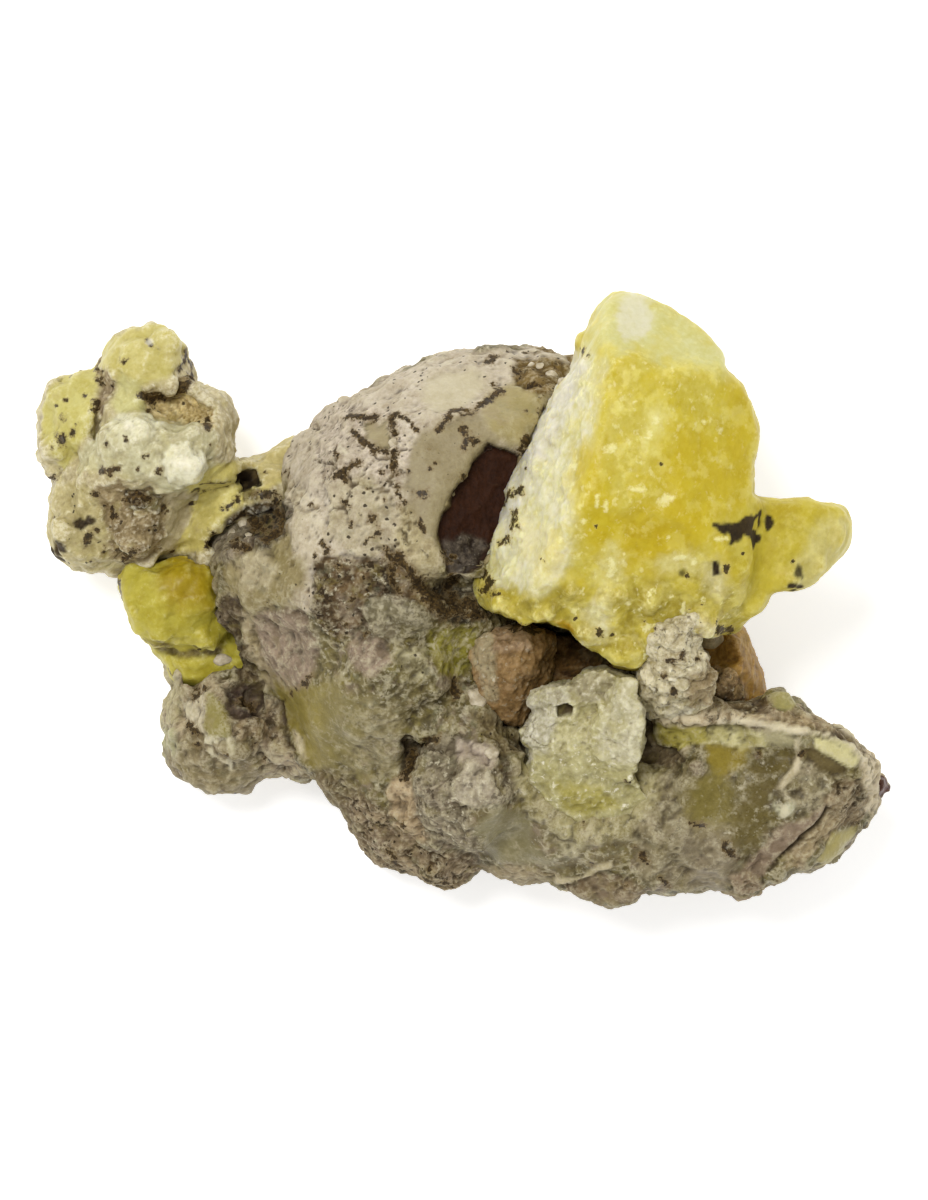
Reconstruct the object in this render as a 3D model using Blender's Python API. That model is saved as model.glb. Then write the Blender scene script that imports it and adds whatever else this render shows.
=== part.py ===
"""Brucite on its host rock: a hand-sized mineral specimen lying on a flat break.

Metres, +Z up. The specimen lies with its best face up. The origin is in the middle of its outline,
on the surface that it lies on. X runs along its longest side, towards the tapering end of the rock,
and Y runs towards the rounded top of the big yellow crystal.

Each form is a lobe: a rounded body whose outline, seen from above, is drawn by hand. The lobes of one
mineral are fused, roughened and thinned out to flat breaks, and every crystal sits in a pocket of the
rock with a hairline gap all round.
"""

import math
from dataclasses import dataclass
from itertools import product

import bmesh
import bpy
import numpy as np
from mathutils import Vector, noise
from mathutils.bvhtree import BVHTree

MM = 0.001

# Driving dimensions, in millimetres
POCKET_GAP = 0.68
POCKET_VOXEL = 0.5
POCKET_SHARE = 0.62
ROCK_VOXEL = 0.8
CRYSTAL_VOXEL = 0.6
SMALL_VOXEL = 0.45
BASE_DEPTH = 20.0
BASE_SIDE = 140.0
SKY = 100.0

# Lumps and hollows over every lobe: their spacing, and how much of the depth the fine ones have
COARSE_SPACING = 9.0
FINE_SPACING = 3.2
FINE_SHARE = 0.45
LUMP_GAIN = 1.6

# Cobbles of the crust: how steep their sides are, and the slow swell between them
COBBLE_STEEPNESS = 2.2
COBBLE_MIDDLE = 0.5
SWELL_SPACING = 2.5
SWELL_SHARE = 0.6

# Grains on the crust, as shares of their radius: how uneven they are and how deep they sit
NUB_UNEVEN = 0.35
NUB_DETAIL = 1.4
NUB_SUNK = 0.25

# Chips are knocked off from this far above the middle of a lobe, over this height, with its half as 1
CHIP_TOP = 0.85
CHIP_RANGE = 1.6

# Breaks that face sideways within this band of slopes are shallow, so that the outline keeps its size
OUTLINE_BAND = 0.28
OUTLINE_SHARE = 0.3
UNDERCUT_SHARE = 1.9

# How finely an outline is rounded between two of its points
OUTLINE_STEPS = 3

# Blocky crystals, as shares of their spacing: how small one can be and how much larger another, how much
# thinner and longer than wide they are, how deep the gaps go, and the height that counts as none
BLOCK_SMALLEST = 0.45
BLOCK_SPREAD = 0.45
BLOCK_THINNER = 1.35
BLOCK_LONGER = 0.8
BLOCK_GAP = 0.35
BLOCK_MIDDLE = 0.2

# The blocks round a smooth spot: where they begin, as a share of its radius, how soon they reach their
# full height, and what is left of them inside
BLOCK_START = 0.8
BLOCK_RISE = 0.3
BLOCK_REST = 0.08

# Keeps the random numbers within 32 bits
WORD = 0xFFFFFFFF


@dataclass(frozen=True)
class Lobe:
    """A body under a hand-drawn outline, with straight sides if angular. Everything is in millimetres."""

    rim: tuple
    low: float
    waist: float
    high: float
    crown: tuple = None
    fullness: float = 0.75
    rough: float = 0.7
    chips: int = 0
    chip_depth: float = 0.08
    angular: bool = False
    seed: int = 1


@dataclass(frozen=True)
class Facet:
    """A flat break or cleavage: what lies beyond the plane is gone. Everything is in millimetres."""

    point: tuple
    normal: tuple


@dataclass(frozen=True)
class Crust:
    """The growth over a whole mineral: how far apart its lumps and its blocky crystals are, and how high.

    The blocks fade out within the radius of a smooth spot, given as x, y and radius.
    """

    spacing: float
    height: float
    seed: int
    block_spacing: float = 4.5
    block_height: float = 0.0
    smooth_spot: tuple = None


@dataclass(frozen=True)
class Finish:
    """A mineral's plain colour and surface."""

    colour: tuple
    roughness: float


@dataclass(frozen=True)
class Mineral:
    """One solid: its lobes, colour and crust, how finely it is made, and what is cut or set on it."""

    name: str
    lobes: tuple
    finish: Finish
    crust: Crust
    voxel: float
    faces: int
    hollows: tuple = ()
    facets: tuple = ()
    nubs: tuple = ()


TAN_ROCK = Finish((0.43, 0.38, 0.28), 0.85)
DARK_CHROMITE = Finish((0.035, 0.018, 0.014), 0.6)
YELLOW_BRUCITE = Finish((0.80, 0.66, 0.10), 0.4)
PALE_BRUCITE = Finish((0.66, 0.64, 0.33), 0.45)
OLIVE_BRUCITE = Finish((0.62, 0.55, 0.08), 0.45)
GREEN_BRUCITE = Finish((0.56, 0.57, 0.36), 0.5)
CREAM_BRUCITE = Finish((0.62, 0.58, 0.44), 0.65)
BROWN_CALCITE = Finish((0.30, 0.19, 0.09), 0.6)

# The host rock: a rounded shell, the slope below it, the tapering end and a small foot
DOME = Lobe(
    rim=(
        (-17.6, 15.4), (-15.0, 17.2), (-13.8, 18.7), (-10.4, 20.1), (-8.2, 21.6), (-5.0, 23.2),
        (-1.0, 24.5), (3.7, 25.6), (7.6, 25.1), (11.2, 24.2), (15.0, 19.5), (16.0, 11.0),
        (13.5, 3.0), (8.5, -4.0), (0.0, -9.0), (-10.0, -10.0), (-18.5, -8.0), (-23.0, -3.0),
        (-25.0, 2.6), (-21.5, 6.0), (-18.0, 9.5),
    ),
    low=-9.0, waist=15.0, high=33.0, crown=(-6.5, 8.0), fullness=0.86, rough=0.7, chips=16,
    chip_depth=0.045, seed=3,
)
SLOPE = Lobe(
    rim=(
        (-24.4, 2.0), (-23.8, -4.0), (-20.8, -10.2), (-18.8, -15.5), (-17.2, -18.4), (-13.9, -20.1),
        (-11.8, -21.8), (-10.4, -24.4), (-8.6, -26.2), (-4.8, -27.9), (-2.3, -28.9), (0.4, -28.9),
        (1.8, -27.2), (6.0, -26.0), (10.0, -19.0), (11.0, -10.0), (8.0, -2.0), (0.0, 2.0),
        (-12.0, 5.0),
    ),
    low=-8.0, waist=10.0, high=27.5, crown=(-7.0, -9.0), fullness=0.84, rough=1.0, chips=20,
    chip_depth=0.08, seed=8,
)
TAPERING_END = Lobe(
    rim=(
        (-4.0, -20.0), (-2.5, -15.5), (6.0, -13.5), (14.0, -10.5), (20.0, -10.4), (28.0, -10.0),
        (33.6, -10.4), (37.0, -11.6), (39.6, -13.4), (41.6, -15.8), (42.4, -18.4), (42.0, -22.0),
        (40.6, -24.2), (38.4, -25.6), (34.8, -27.4), (31.8, -28.9), (28.0, -30.1), (25.0, -29.5),
        (19.6, -30.5), (16.2, -31.4), (13.2, -30.9), (9.6, -28.9), (4.0, -28.7), (-1.5, -27.3),
    ),
    low=-8.0, waist=12.5, high=25.5, crown=(20.0, -19.0), fullness=0.74, rough=0.9, chips=22,
    chip_depth=0.07, seed=12,
)
FOOT = Lobe(
    rim=(
        (-29.0, -7.0), (-29.8, -10.0), (-29.4, -12.2), (-30.2, -14.5), (-29.6, -16.0), (-28.0, -18.0),
        (-26.4, -19.0), (-22.4, -19.2), (-20.0, -18.8), (-18.6, -17.0), (-15.0, -16.0),
        (-15.0, -9.0), (-19.0, -4.0), (-24.0, -5.0),
    ),
    low=-5.0, waist=7.0, high=17.5, crown=(-25.0, -13.0), fullness=0.8, rough=0.7, chips=14,
    chip_depth=0.1, seed=21,
)
CORE = Lobe(
    rim=(
        (-8.0, 4.0), (6.0, 8.0), (18.0, 8.0), (24.0, 2.0), (27.0, -6.0), (26.0, -14.0),
        (14.0, -16.0), (0.0, -14.0),
    ),
    low=-6.0, waist=8.0, high=19.0, crown=(14.0, -2.0), fullness=0.75, rough=1.0, chips=9, seed=30,
)
LEDGE = Lobe(
    rim=(
        (19.5, -11.0), (24.0, -10.4), (30.0, -10.6), (35.0, -11.6), (38.9, -13.6), (41.6, -17.0),
        (42.0, -19.5), (38.5, -17.6), (34.0, -15.2), (28.0, -13.6), (21.0, -13.4),
    ),
    low=13.0, waist=20.0, high=27.5, crown=(29.0, -12.2), fullness=0.62, rough=0.4, chips=5, seed=41,
)
LOWER_LEDGE = Lobe(
    rim=(
        (24.0, -29.0), (28.0, -30.0), (31.5, -28.8), (34.9, -27.0), (38.4, -24.8), (41.4, -21.0),
        (39.5, -19.0), (35.5, -21.5), (31.0, -25.0), (26.0, -26.8),
    ),
    low=4.0, waist=12.0, high=22.5, crown=(34.0, -24.0), fullness=0.65, rough=0.5, chips=7, seed=44,
)
GLASSY_SWELL = Lobe(
    rim=(
        (22.0, -14.0), (28.0, -13.6), (34.6, -14.0), (39.6, -16.4), (40.8, -19.4), (38.4, -22.4),
        (33.4, -25.0), (28.0, -26.2), (22.6, -25.0), (20.6, -19.0),
    ),
    low=10.0, waist=18.0, high=25.8, crown=(30.4, -18.6), fullness=0.8, rough=0.3, seed=46,
)
BOTTOM_RIM = Lobe(
    rim=(
        (-9.4, -25.0), (-7.6, -26.6), (-4.3, -28.0), (-2.3, -28.9), (0.2, -28.9), (2.4, -26.0),
        (-1.0, -22.5), (-6.0, -22.5),
    ),
    low=2.0, waist=9.0, high=17.5, fullness=0.7, rough=0.7, chips=6, seed=47,
)
GREY_CRUST = Lobe(
    rim=(
        (-5.2, -19.0), (-4.2, -15.8), (-1.0, -14.3), (3.0, -13.9), (5.8, -14.9), (6.6, -18.5),
        (4.4, -22.6), (-0.6, -23.8), (-4.4, -22.4),
    ),
    low=14.0, waist=22.0, high=28.5, crown=(0.6, -17.2), fullness=0.75, rough=1.0, chips=6, seed=52,
)
GREEN_CRUST = Lobe(
    rim=(
        (-10.2, 0.2), (-7.0, 0.6), (-3.4, -1.0), (-0.6, -4.0), (-1.4, -9.0), (-5.0, -13.0),
        (-9.6, -14.2), (-13.0, -10.0), (-12.8, -4.4),
    ),
    low=14.0, waist=24.0, high=30.5, crown=(-6.4, -3.6), fullness=0.75, rough=1.0, chips=8,
    chip_depth=0.06, seed=57,
)
NECK_STONES = Lobe(
    rim=((-25.0, 4.6), (-22.0, 6.6), (-17.6, 9.4), (-16.0, 7.0), (-18.4, 3.6), (-22.6, 2.2)),
    low=2.0, waist=11.0, high=18.0, fullness=0.8, rough=0.7, chips=5, seed=60,
)
ROCK_LOBES = (
    DOME, SLOPE, TAPERING_END, FOOT, CORE, LEDGE, LOWER_LEDGE, GLASSY_SWELL, BOTTOM_RIM, GREY_CRUST,
    GREEN_CRUST, NECK_STONES,
)

# Hollows of the rock: the broken shell over the chromite, the deep hollow under the yellow skirt,
# the clefts round the pale crystals, and a chip out of the underside
SHELL_WINDOW = Lobe(
    rim=(
        (2.4, 16.2), (6.3, 14.5), (7.0, 8.4), (5.0, 4.8), (1.8, 3.2), (-1.8, 3.2), (-3.1, 5.4),
        (-2.6, 7.8), (-1.2, 10.8), (0.9, 13.0),
    ),
    low=28.6, waist=38.0, high=50.0, crown=(2.0, 9.4), fullness=0.3, rough=0.1, angular=True, seed=68,
)
DEEP_HOLLOW = Lobe(
    rim=((5.0, -3.4), (9.0, -1.8), (14.0, -2.6), (17.0, -5.6), (14.6, -8.6), (8.6, -9.4), (4.4, -7.0)),
    low=12.0, waist=26.0, high=44.0, fullness=0.7, rough=0.3, seed=70,
)
RIGHT_CLEFT = Lobe(
    rim=((18.4, -8.6), (21.4, -9.6), (23.0, -14.0), (22.6, -18.0), (19.4, -18.6), (17.4, -14.0)),
    low=17.5, waist=28.0, high=44.0, fullness=0.7, rough=0.2, seed=72,
)
SHARD_CLEFT = Lobe(
    rim=((23.4, -3.4), (26.4, -2.2), (30.6, -7.0), (30.0, -9.8), (25.4, -9.6), (23.6, -7.4)),
    low=13.0, waist=26.0, high=44.0, fullness=0.7, rough=0.2, seed=74,
)
CRUST_CLEFT = Lobe(
    rim=((-6.6, -14.6), (-4.6, -13.0), (-1.0, -13.6), (-4.6, -16.0), (-6.4, -19.6), (-8.0, -18.0)),
    low=21.0, waist=30.0, high=44.0, fullness=0.6, rough=0.2, seed=76,
)
GRANULAR_CLEFT = Lobe(
    rim=(
        (-7.0, 0.8), (-4.0, 2.2), (-1.0, 2.8), (2.6, 1.6), (1.8, -1.2), (-0.8, -0.9), (-3.2, 0.2),
        (-6.0, 0.0),
    ),
    low=25.8, waist=34.0, high=50.0, fullness=0.6, rough=0.3, seed=78,
)
FOOT_CLEFT = Lobe(
    rim=(
        (-24.6, -1.0), (-22.4, -3.0), (-21.0, -8.0), (-18.2, -12.6), (-19.4, -14.0), (-22.4, -9.6),
        (-24.8, -5.0),
    ),
    low=9.5, waist=20.0, high=44.0, fullness=0.65, rough=0.2, seed=80,
)
UNDER_CHIP = Lobe(
    rim=((-4.0, -10.0), (4.0, -6.0), (12.0, -9.0), (15.0, -17.0), (6.0, -21.0), (-4.0, -18.0)),
    low=-8.0, waist=-4.0, high=2.2, fullness=0.8, rough=0.6, seed=83,
)
ROCK_HOLLOWS = (
    SHELL_WINDOW, DEEP_HOLLOW, RIGHT_CLEFT, SHARD_CLEFT, CRUST_CLEFT, GRANULAR_CLEFT, FOOT_CLEFT,
    UNDER_CHIP,
)

# Rounded grains on the rock's crust: where they are seen from above, and their radius
ROCK_NUBS = (
    (-2.6, -15.6, 1.3), (-0.2, -14.9, 1.4), (2.6, -15.0, 1.7), (4.8, -16.4, 1.3), (-3.4, -18.6, 1.6),
    (0.4, -18.4, 1.5), (3.0, -19.4, 1.3), (-5.4, -21.4, 1.8), (-13.8, 18.4, 1.3), (31.8, -10.4, 1.9),
    (42.0, -18.9, 1.0), (34.6, -11.8, 0.9), (37.4, -13.2, 0.8), (2.0, -10.2, 1.1), (-8.2, -0.6, 1.5),
    (-5.2, -1.4, 1.6), (-9.6, -5.6, 1.6), (-27.4, -9.0, 1.5), (-24.6, -10.6, 1.7), (-28.4, -14.2, 1.6),
    (-25.8, -16.4, 1.7), (-22.6, -14.6, 1.6), (31.8, -27.6, 1.3), (27.6, -28.4, 1.4), (17.2, -29.6, 1.3),
    (12.6, -29.2, 1.5), (21.6, -28.6, 1.2), (-3.2, -27.4, 1.4), (-7.4, -24.8, 1.6), (-13.0, -18.6, 1.4),
    (-15.2, -15.8, 1.5), (-19.4, 6.6, 1.5), (-21.8, 4.6, 1.3), (8.4, 23.6, 1.4), (23.6, -15.4, 1.1),
    (22.4, -17.4, 1.1), (6.4, -9.4, 1.1), (9.6, -10.2, 0.9),
)

# The big yellow crystal: a thick plate standing on the rock, its lumpy skirt and the wing to its right
YELLOW_BODY = Lobe(
    rim=(
        (13.8, 30.2), (15.8, 30.9), (18.6, 30.5), (21.9, 28.9), (24.6, 26.8), (26.4, 24.8),
        (27.2, 22.6), (28.4, 20.6), (29.4, 18.2), (30.0, 15.8), (29.7, 13.6), (29.2, 10.6),
        (29.0, 7.0), (28.6, 3.0), (27.4, -0.4), (24.4, -3.6), (20.4, -5.8), (17.8, -6.9),
        (15.2, -6.6), (12.6, -4.9), (9.6, -3.1), (6.6, -3.2), (3.8, -2.7), (1.8, -0.4),
        (1.4, 2.0), (2.6, 4.4), (3.6, 7.0), (4.6, 10.0), (6.2, 13.0), (8.2, 16.2),
        (9.8, 20.0), (11.2, 23.0), (11.6, 26.0), (12.8, 27.6),
    ),
    low=17.0, waist=27.0, high=45.5, crown=(18.0, 12.0), fullness=0.72, rough=0.7, chips=14,
    chip_depth=0.05, seed=101,
)
YELLOW_WING = Lobe(
    rim=(
        (22.0, 9.0), (28.8, 10.5), (31.8, 10.5), (35.8, 9.9), (38.6, 8.6), (39.4, 6.8),
        (38.8, 4.8), (37.2, 3.0), (34.2, 0.9), (31.8, -0.9), (29.6, -1.9), (27.4, -2.9),
        (24.0, -3.4), (21.0, 0.0),
    ),
    low=21.0, waist=27.5, high=34.0, crown=(29.0, 4.6), fullness=0.7, rough=0.6, chips=8,
    chip_depth=0.06, seed=104,
)
YELLOW_SKIRT = Lobe(
    rim=(
        (1.8, -0.6), (4.0, 4.0), (10.0, 4.0), (18.0, 3.0), (26.0, 2.0), (28.0, -0.6),
        (24.6, -3.8), (20.4, -5.9), (17.8, -7.0), (15.2, -6.7), (12.6, -5.0), (9.6, -3.2),
        (6.6, -3.3), (3.8, -2.8),
    ),
    low=19.5, waist=28.0, high=37.0, crown=(14.0, 0.0), fullness=0.72, rough=0.9, chips=8,
    chip_depth=0.06, seed=107,
)
LEFT_PLATE_FACE = Facet(point=(11.0, 12.0, 40.2), normal=(-0.84, 0.20, 0.50))
CAP_FACE = Facet(point=(19.0, 23.8, 39.6), normal=(0.24, 0.74, 0.62))
RIDGE_FACE = Facet(point=(14.0, 12.0, 42.6), normal=(0.10, 0.02, 1.0))
RIGHT_FACE = Facet(point=(24.0, 12.0, 40.0), normal=(0.55, 0.04, 0.83))
FRONT_FACE = Facet(point=(14.0, 5.6, 40.2), normal=(0.0, -0.52, 0.85))
YELLOW_NUBS = (
    (11.9, 25.6, 1.5), (4.6, -1.2, 1.8), (8.2, -1.4, 1.7), (12.0, -3.0, 1.8), (16.0, -4.8, 1.9),
    (19.6, -3.8, 1.9), (23.4, -1.6, 1.8), (14.6, 0.4, 1.8), (18.4, 0.2, 1.7), (10.6, 1.4, 1.6),
    (28.6, -0.6, 1.6), (31.8, 2.2, 1.3), (36.6, 6.2, 1.3), (34.8, 3.4, 1.2),
)
MAIN_BRUCITE = Mineral(
    "main_brucite", (YELLOW_BODY, YELLOW_WING, YELLOW_SKIRT), YELLOW_BRUCITE,
    Crust(spacing=4.6, height=0.3, seed=5, block_spacing=3.6, block_height=0.35), CRYSTAL_VOXEL, 1520,
    facets=(LEFT_PLATE_FACE, CAP_FACE, RIDGE_FACE, RIGHT_FACE, FRONT_FACE), nubs=YELLOW_NUBS,
)

# The pale cluster on the left: five crystals grown together, and the neck that ties them to the rock
LEFT_HEART = Lobe(
    rim=(
        (-40.2, 19.8), (-36.4, 22.0), (-34.8, 24.8), (-31.4, 26.0), (-28.6, 25.2), (-26.8, 21.8),
        (-24.2, 18.8), (-23.8, 14.8), (-25.0, 10.8), (-27.4, 6.8), (-31.4, 5.4), (-36.4, 4.8),
        (-39.8, 5.8), (-40.2, 10.8), (-39.4, 14.8),
    ),
    low=4.0, waist=11.0, high=21.8, fullness=0.6, rough=0.6, chips=8, seed=119,
)
LEFT_TOP = Lobe(
    rim=(
        (-36.0, 20.4), (-35.6, 23.4), (-34.9, 25.5), (-33.4, 26.7), (-31.3, 27.2), (-29.6, 27.0),
        (-28.4, 26.2), (-27.6, 24.8), (-27.0, 22.2), (-28.4, 19.6), (-31.4, 18.6), (-34.4, 18.8),
    ),
    low=8.0, waist=15.0, high=23.0, fullness=0.75, rough=0.5, chips=11, chip_depth=0.1,
    seed=121,
)
LEFT_SIDE = Lobe(
    rim=(
        (-42.2, 20.0), (-40.4, 21.9), (-38.4, 22.6), (-36.4, 22.8), (-35.4, 20.0), (-34.8, 16.6),
        (-36.0, 12.6), (-39.0, 11.6), (-41.4, 12.2), (-42.4, 14.6), (-42.7, 17.4),
    ),
    low=5.0, waist=12.0, high=20.0, fullness=0.75, rough=0.5, chips=11, chip_depth=0.1, seed=124,
)
LEFT_MIDDLE = Lobe(
    rim=(
        (-38.0, 15.0), (-35.6, 19.6), (-31.4, 21.6), (-27.4, 22.4), (-25.4, 20.8), (-23.4, 19.2),
        (-22.9, 16.8), (-23.2, 14.4), (-22.8, 12.8), (-24.6, 10.4), (-28.4, 9.2), (-32.4, 8.8),
        (-36.4, 9.6), (-38.6, 12.0),
    ),
    low=6.0, waist=15.0, high=26.5, crown=(-30.6, 14.6), fullness=0.72, rough=0.7, chips=15,
    chip_depth=0.08, seed=127,
)
LEFT_LOW = Lobe(
    rim=(
        (-41.4, 10.0), (-38.4, 12.4), (-33.6, 12.2), (-28.0, 11.0), (-25.8, 8.0), (-27.0, 4.6),
        (-31.4, 3.4), (-34.6, 2.7), (-37.0, 2.6), (-40.0, 3.9), (-41.3, 5.4), (-41.2, 8.2),
    ),
    low=4.0, waist=11.0, high=21.0, crown=(-33.6, 7.6), fullness=0.75, rough=0.6, chips=12, seed=130,
)
NECK = Lobe(
    rim=(
        (-27.0, 12.6), (-23.4, 13.4), (-20.2, 13.8), (-18.4, 14.9), (-16.6, 15.8), (-14.6, 12.0),
        (-15.4, 8.0), (-19.0, 5.4), (-22.6, 3.4), (-26.0, 1.6), (-28.4, 4.0), (-28.4, 8.6),
    ),
    low=4.0, waist=11.0, high=18.5, crown=(-23.6, 8.6), fullness=0.75, rough=0.5, chips=5,
    chip_depth=0.05, seed=133,
)
BROWN_CAVITY = Lobe(
    rim=((-32.4, 20.0), (-29.8, 21.2), (-26.2, 20.6), (-24.2, 17.8), (-27.0, 16.4), (-31.4, 17.6)),
    low=19.2, waist=27.0, high=40.0, fullness=0.6, rough=0.3, seed=140,
)
SQUARE_HOLE = Lobe(
    rim=((-23.2, 12.4), (-20.6, 12.8), (-20.0, 10.6), (-22.6, 10.0)),
    low=12.0, waist=19.0, high=30.0, fullness=0.4, rough=0.1, angular=True, seed=142,
)
NECK_HOLLOW = Lobe(
    rim=((-25.6, 6.2), (-22.4, 8.4), (-17.0, 10.6), (-15.8, 8.2), (-19.4, 4.6), (-23.6, 3.4)),
    low=11.0, waist=18.0, high=40.0, fullness=0.6, rough=0.3, seed=144,
)
SEAM = Lobe(
    rim=(
        (-37.0, 21.0), (-36.0, 21.4), (-35.6, 16.4), (-37.6, 12.0), (-38.8, 8.8), (-39.6, 9.4),
        (-38.4, 13.4), (-36.8, 17.0),
    ),
    low=14.0, waist=22.0, high=40.0, fullness=0.6, rough=0.1, seed=146,
)
LEFT_NUBS = (
    (-29.6, 25.4, 1.4), (-40.6, 15.2, 1.3), (-27.8, 13.4, 1.9), (-25.4, 15.2, 1.4), (-32.6, 10.2, 1.3),
    (-33.0, 5.8, 1.5), (-39.6, 6.6, 1.3),
)
LEFT_BRUCITE = Mineral(
    "left_brucite", (LEFT_HEART, LEFT_TOP, LEFT_SIDE, LEFT_MIDDLE, LEFT_LOW, NECK), PALE_BRUCITE,
    Crust(spacing=3.4, height=0.2, seed=11, block_spacing=5.2, block_height=2.2), CRYSTAL_VOXEL, 1400,
    hollows=(BROWN_CAVITY, SQUARE_HOLE, NECK_HOLLOW, SEAM), nubs=LEFT_NUBS,
)

# The olive-yellow fan below the neck, and its small neighbour
KNOB = Lobe(
    rim=(
        (-34.8, 0.8), (-34.2, 3.4), (-31.2, 5.0), (-27.4, 5.4), (-24.4, 4.0), (-23.5, 0.0),
        (-23.8, -3.4), (-25.4, -5.4), (-27.0, -5.4), (-29.4, -4.5), (-31.6, -4.8), (-33.2, -3.6),
        (-34.4, -1.2),
    ),
    low=5.0, waist=11.0, high=19.5, crown=(-28.0, 1.4), fullness=0.75, rough=0.4, chips=6, seed=150,
)
KNOB_NEIGHBOUR = Lobe(
    rim=(
        (-31.2, -5.0), (-27.6, -4.0), (-24.0, -3.4), (-20.6, -4.8), (-20.2, -8.0), (-22.4, -9.4),
        (-26.0, -9.6), (-29.0, -8.4),
    ),
    low=5.0, waist=10.0, high=14.8, fullness=0.75, rough=0.5, chips=6, seed=153,
)
KNOB_NUBS = ((-32.4, -1.6, 1.3), (-30.4, -3.2, 1.3), (-26.2, -3.6, 1.5))
BRUCITE_KNOB = Mineral(
    "brucite_knob", (KNOB, KNOB_NEIGHBOUR), OLIVE_BRUCITE,
    Crust(spacing=3.2, height=0.3, seed=17, block_spacing=4.4, block_height=0.6), SMALL_VOXEL, 420,
    nubs=KNOB_NUBS,
)

# The pale green blade, grown out of a crusty shoulder and a broad root, and the cream column beside it
BLADE_PLATE = Lobe(
    rim=(
        (12.6, -7.4), (14.0, -7.0), (15.4, -7.3), (16.9, -8.0), (17.7, -9.4), (17.6, -11.6),
        (17.2, -14.2), (16.9, -16.6), (16.0, -19.0), (14.8, -20.6), (13.6, -20.0), (12.8, -17.2),
        (12.6, -13.2), (12.8, -10.2),
    ),
    low=14.0, waist=25.0, high=34.5, crown=(15.8, -10.4), fullness=0.6, rough=0.3, angular=True, seed=160,
)
BLADE_SHOULDER = Lobe(
    rim=(
        (6.3, -11.9), (6.2, -10.2), (7.0, -9.2), (8.5, -9.1), (9.8, -9.6), (11.0, -8.7), (12.2, -7.8),
        (13.6, -9.2), (13.4, -12.2), (12.8, -15.0), (10.8, -16.6), (8.4, -17.0), (6.8, -16.2), (6.1, -14.0),
    ),
    low=14.0, waist=24.0, high=31.0, crown=(9.6, -11.4), fullness=0.65, rough=0.6, chips=5, seed=162,
)
BLADE_ROOT = Lobe(
    rim=(
        (7.0, -15.8), (9.6, -14.6), (12.6, -14.6), (16.0, -16.8), (16.5, -19.0), (14.6, -21.3),
        (12.2, -21.9), (9.8, -20.9), (8.2, -19.2), (7.3, -17.6),
    ),
    low=13.0, waist=22.0, high=29.0, crown=(12.6, -17.0), fullness=0.65, rough=0.6, chips=5, seed=164,
)
BLADE_FACETS = (
    Facet(point=(15.8, -12.0, 33.4), normal=(0.62, -0.12, 0.78)),
    Facet(point=(9.4, -12.0, 30.2), normal=(-0.40, 0.30, 0.86)),
    Facet(point=(12.0, -18.0, 28.2), normal=(-0.10, -0.58, 0.80)),
)
BLADE_NUBS = ((7.6, -10.4, 1.3), (7.2, -14.2, 1.2), (9.8, -9.8, 1.0), (9.2, -18.4, 1.3), (12.6, -20.2, 1.2))
PALE_BLADE = Mineral(
    "pale_brucite_blade", (BLADE_PLATE, BLADE_SHOULDER, BLADE_ROOT), GREEN_BRUCITE,
    Crust(spacing=3.0, height=0.2, seed=23, block_spacing=3.4, block_height=0.9), SMALL_VOXEL, 480,
    facets=BLADE_FACETS, nubs=BLADE_NUBS,
)
COLUMN = Lobe(
    rim=(
        (17.8, -6.2), (18.4, -4.2), (19.2, -2.9), (20.5, -2.0), (22.0, -1.8), (23.6, -2.2), (24.4, -3.6),
        (24.8, -5.4), (24.9, -7.6), (24.2, -9.6), (23.6, -10.8), (22.0, -11.5), (20.0, -11.3),
        (19.0, -10.5), (18.2, -9.2), (17.6, -7.6),
    ),
    low=15.0, waist=26.0, high=35.8, crown=(21.8, -4.6), fullness=0.66, rough=0.7, chips=6, seed=166,
)
COLUMN_NUBS = (
    (20.2, -4.6, 1.2), (22.9, -3.4, 1.1), (19.4, -7.6, 1.3), (22.2, -7.4, 1.3), (21.0, -10.0, 1.2),
    (23.2, -9.6, 1.1),
)
CREAM_COLUMN = Mineral(
    "cream_brucite_column", (COLUMN,), CREAM_BRUCITE,
    Crust(spacing=2.4, height=0.25, seed=29, block_spacing=3.0, block_height=0.9), SMALL_VOXEL, 380,
    nubs=COLUMN_NUBS,
)

# Two iron-stained brown calcites: a worn grain in the deep hollow, and a splinter on the far side
GRAIN = Lobe(
    rim=(
        (1.4, -6.2), (2.6, -4.2), (5.6, -3.5), (8.6, -3.9), (9.2, -6.2), (8.4, -9.2),
        (6.6, -11.4), (4.2, -12.0), (1.8, -9.8),
    ),
    low=11.0, waist=20.0, high=27.5, crown=(5.6, -5.6), fullness=0.7, rough=0.5, chips=7, seed=170,
)
CALCITE_GRAIN = Mineral(
    "calcite_grain", (GRAIN,), BROWN_CALCITE,
    Crust(spacing=4.0, height=0.2, seed=31, block_spacing=5.6, block_height=0.7), SMALL_VOXEL, 200,
)
SPLINTER = Lobe(
    rim=(
        (25.2, -3.0), (26.6, -2.2), (28.2, -3.4), (29.6, -5.6), (30.9, -9.2), (30.2, -11.2),
        (27.2, -10.6), (25.6, -9.2), (25.0, -6.0),
    ),
    low=8.0, waist=16.0, high=26.0, crown=(27.2, -5.0), fullness=0.6, rough=0.4, chips=5, seed=173,
)
SPLINTER_FACETS = (
    Facet(point=(28.6, -6.0, 20.0), normal=(0.80, 0.28, 0.55)),
    Facet(point=(26.6, -8.0, 22.0), normal=(-0.30, -0.40, 0.87)),
)
CALCITE_SPLINTER = Mineral(
    "calcite_splinter", (SPLINTER,), BROWN_CALCITE,
    Crust(spacing=3.0, height=0.2, seed=37, block_spacing=4.2, block_height=0.6), SMALL_VOXEL, 180,
    facets=SPLINTER_FACETS,
)

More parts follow.
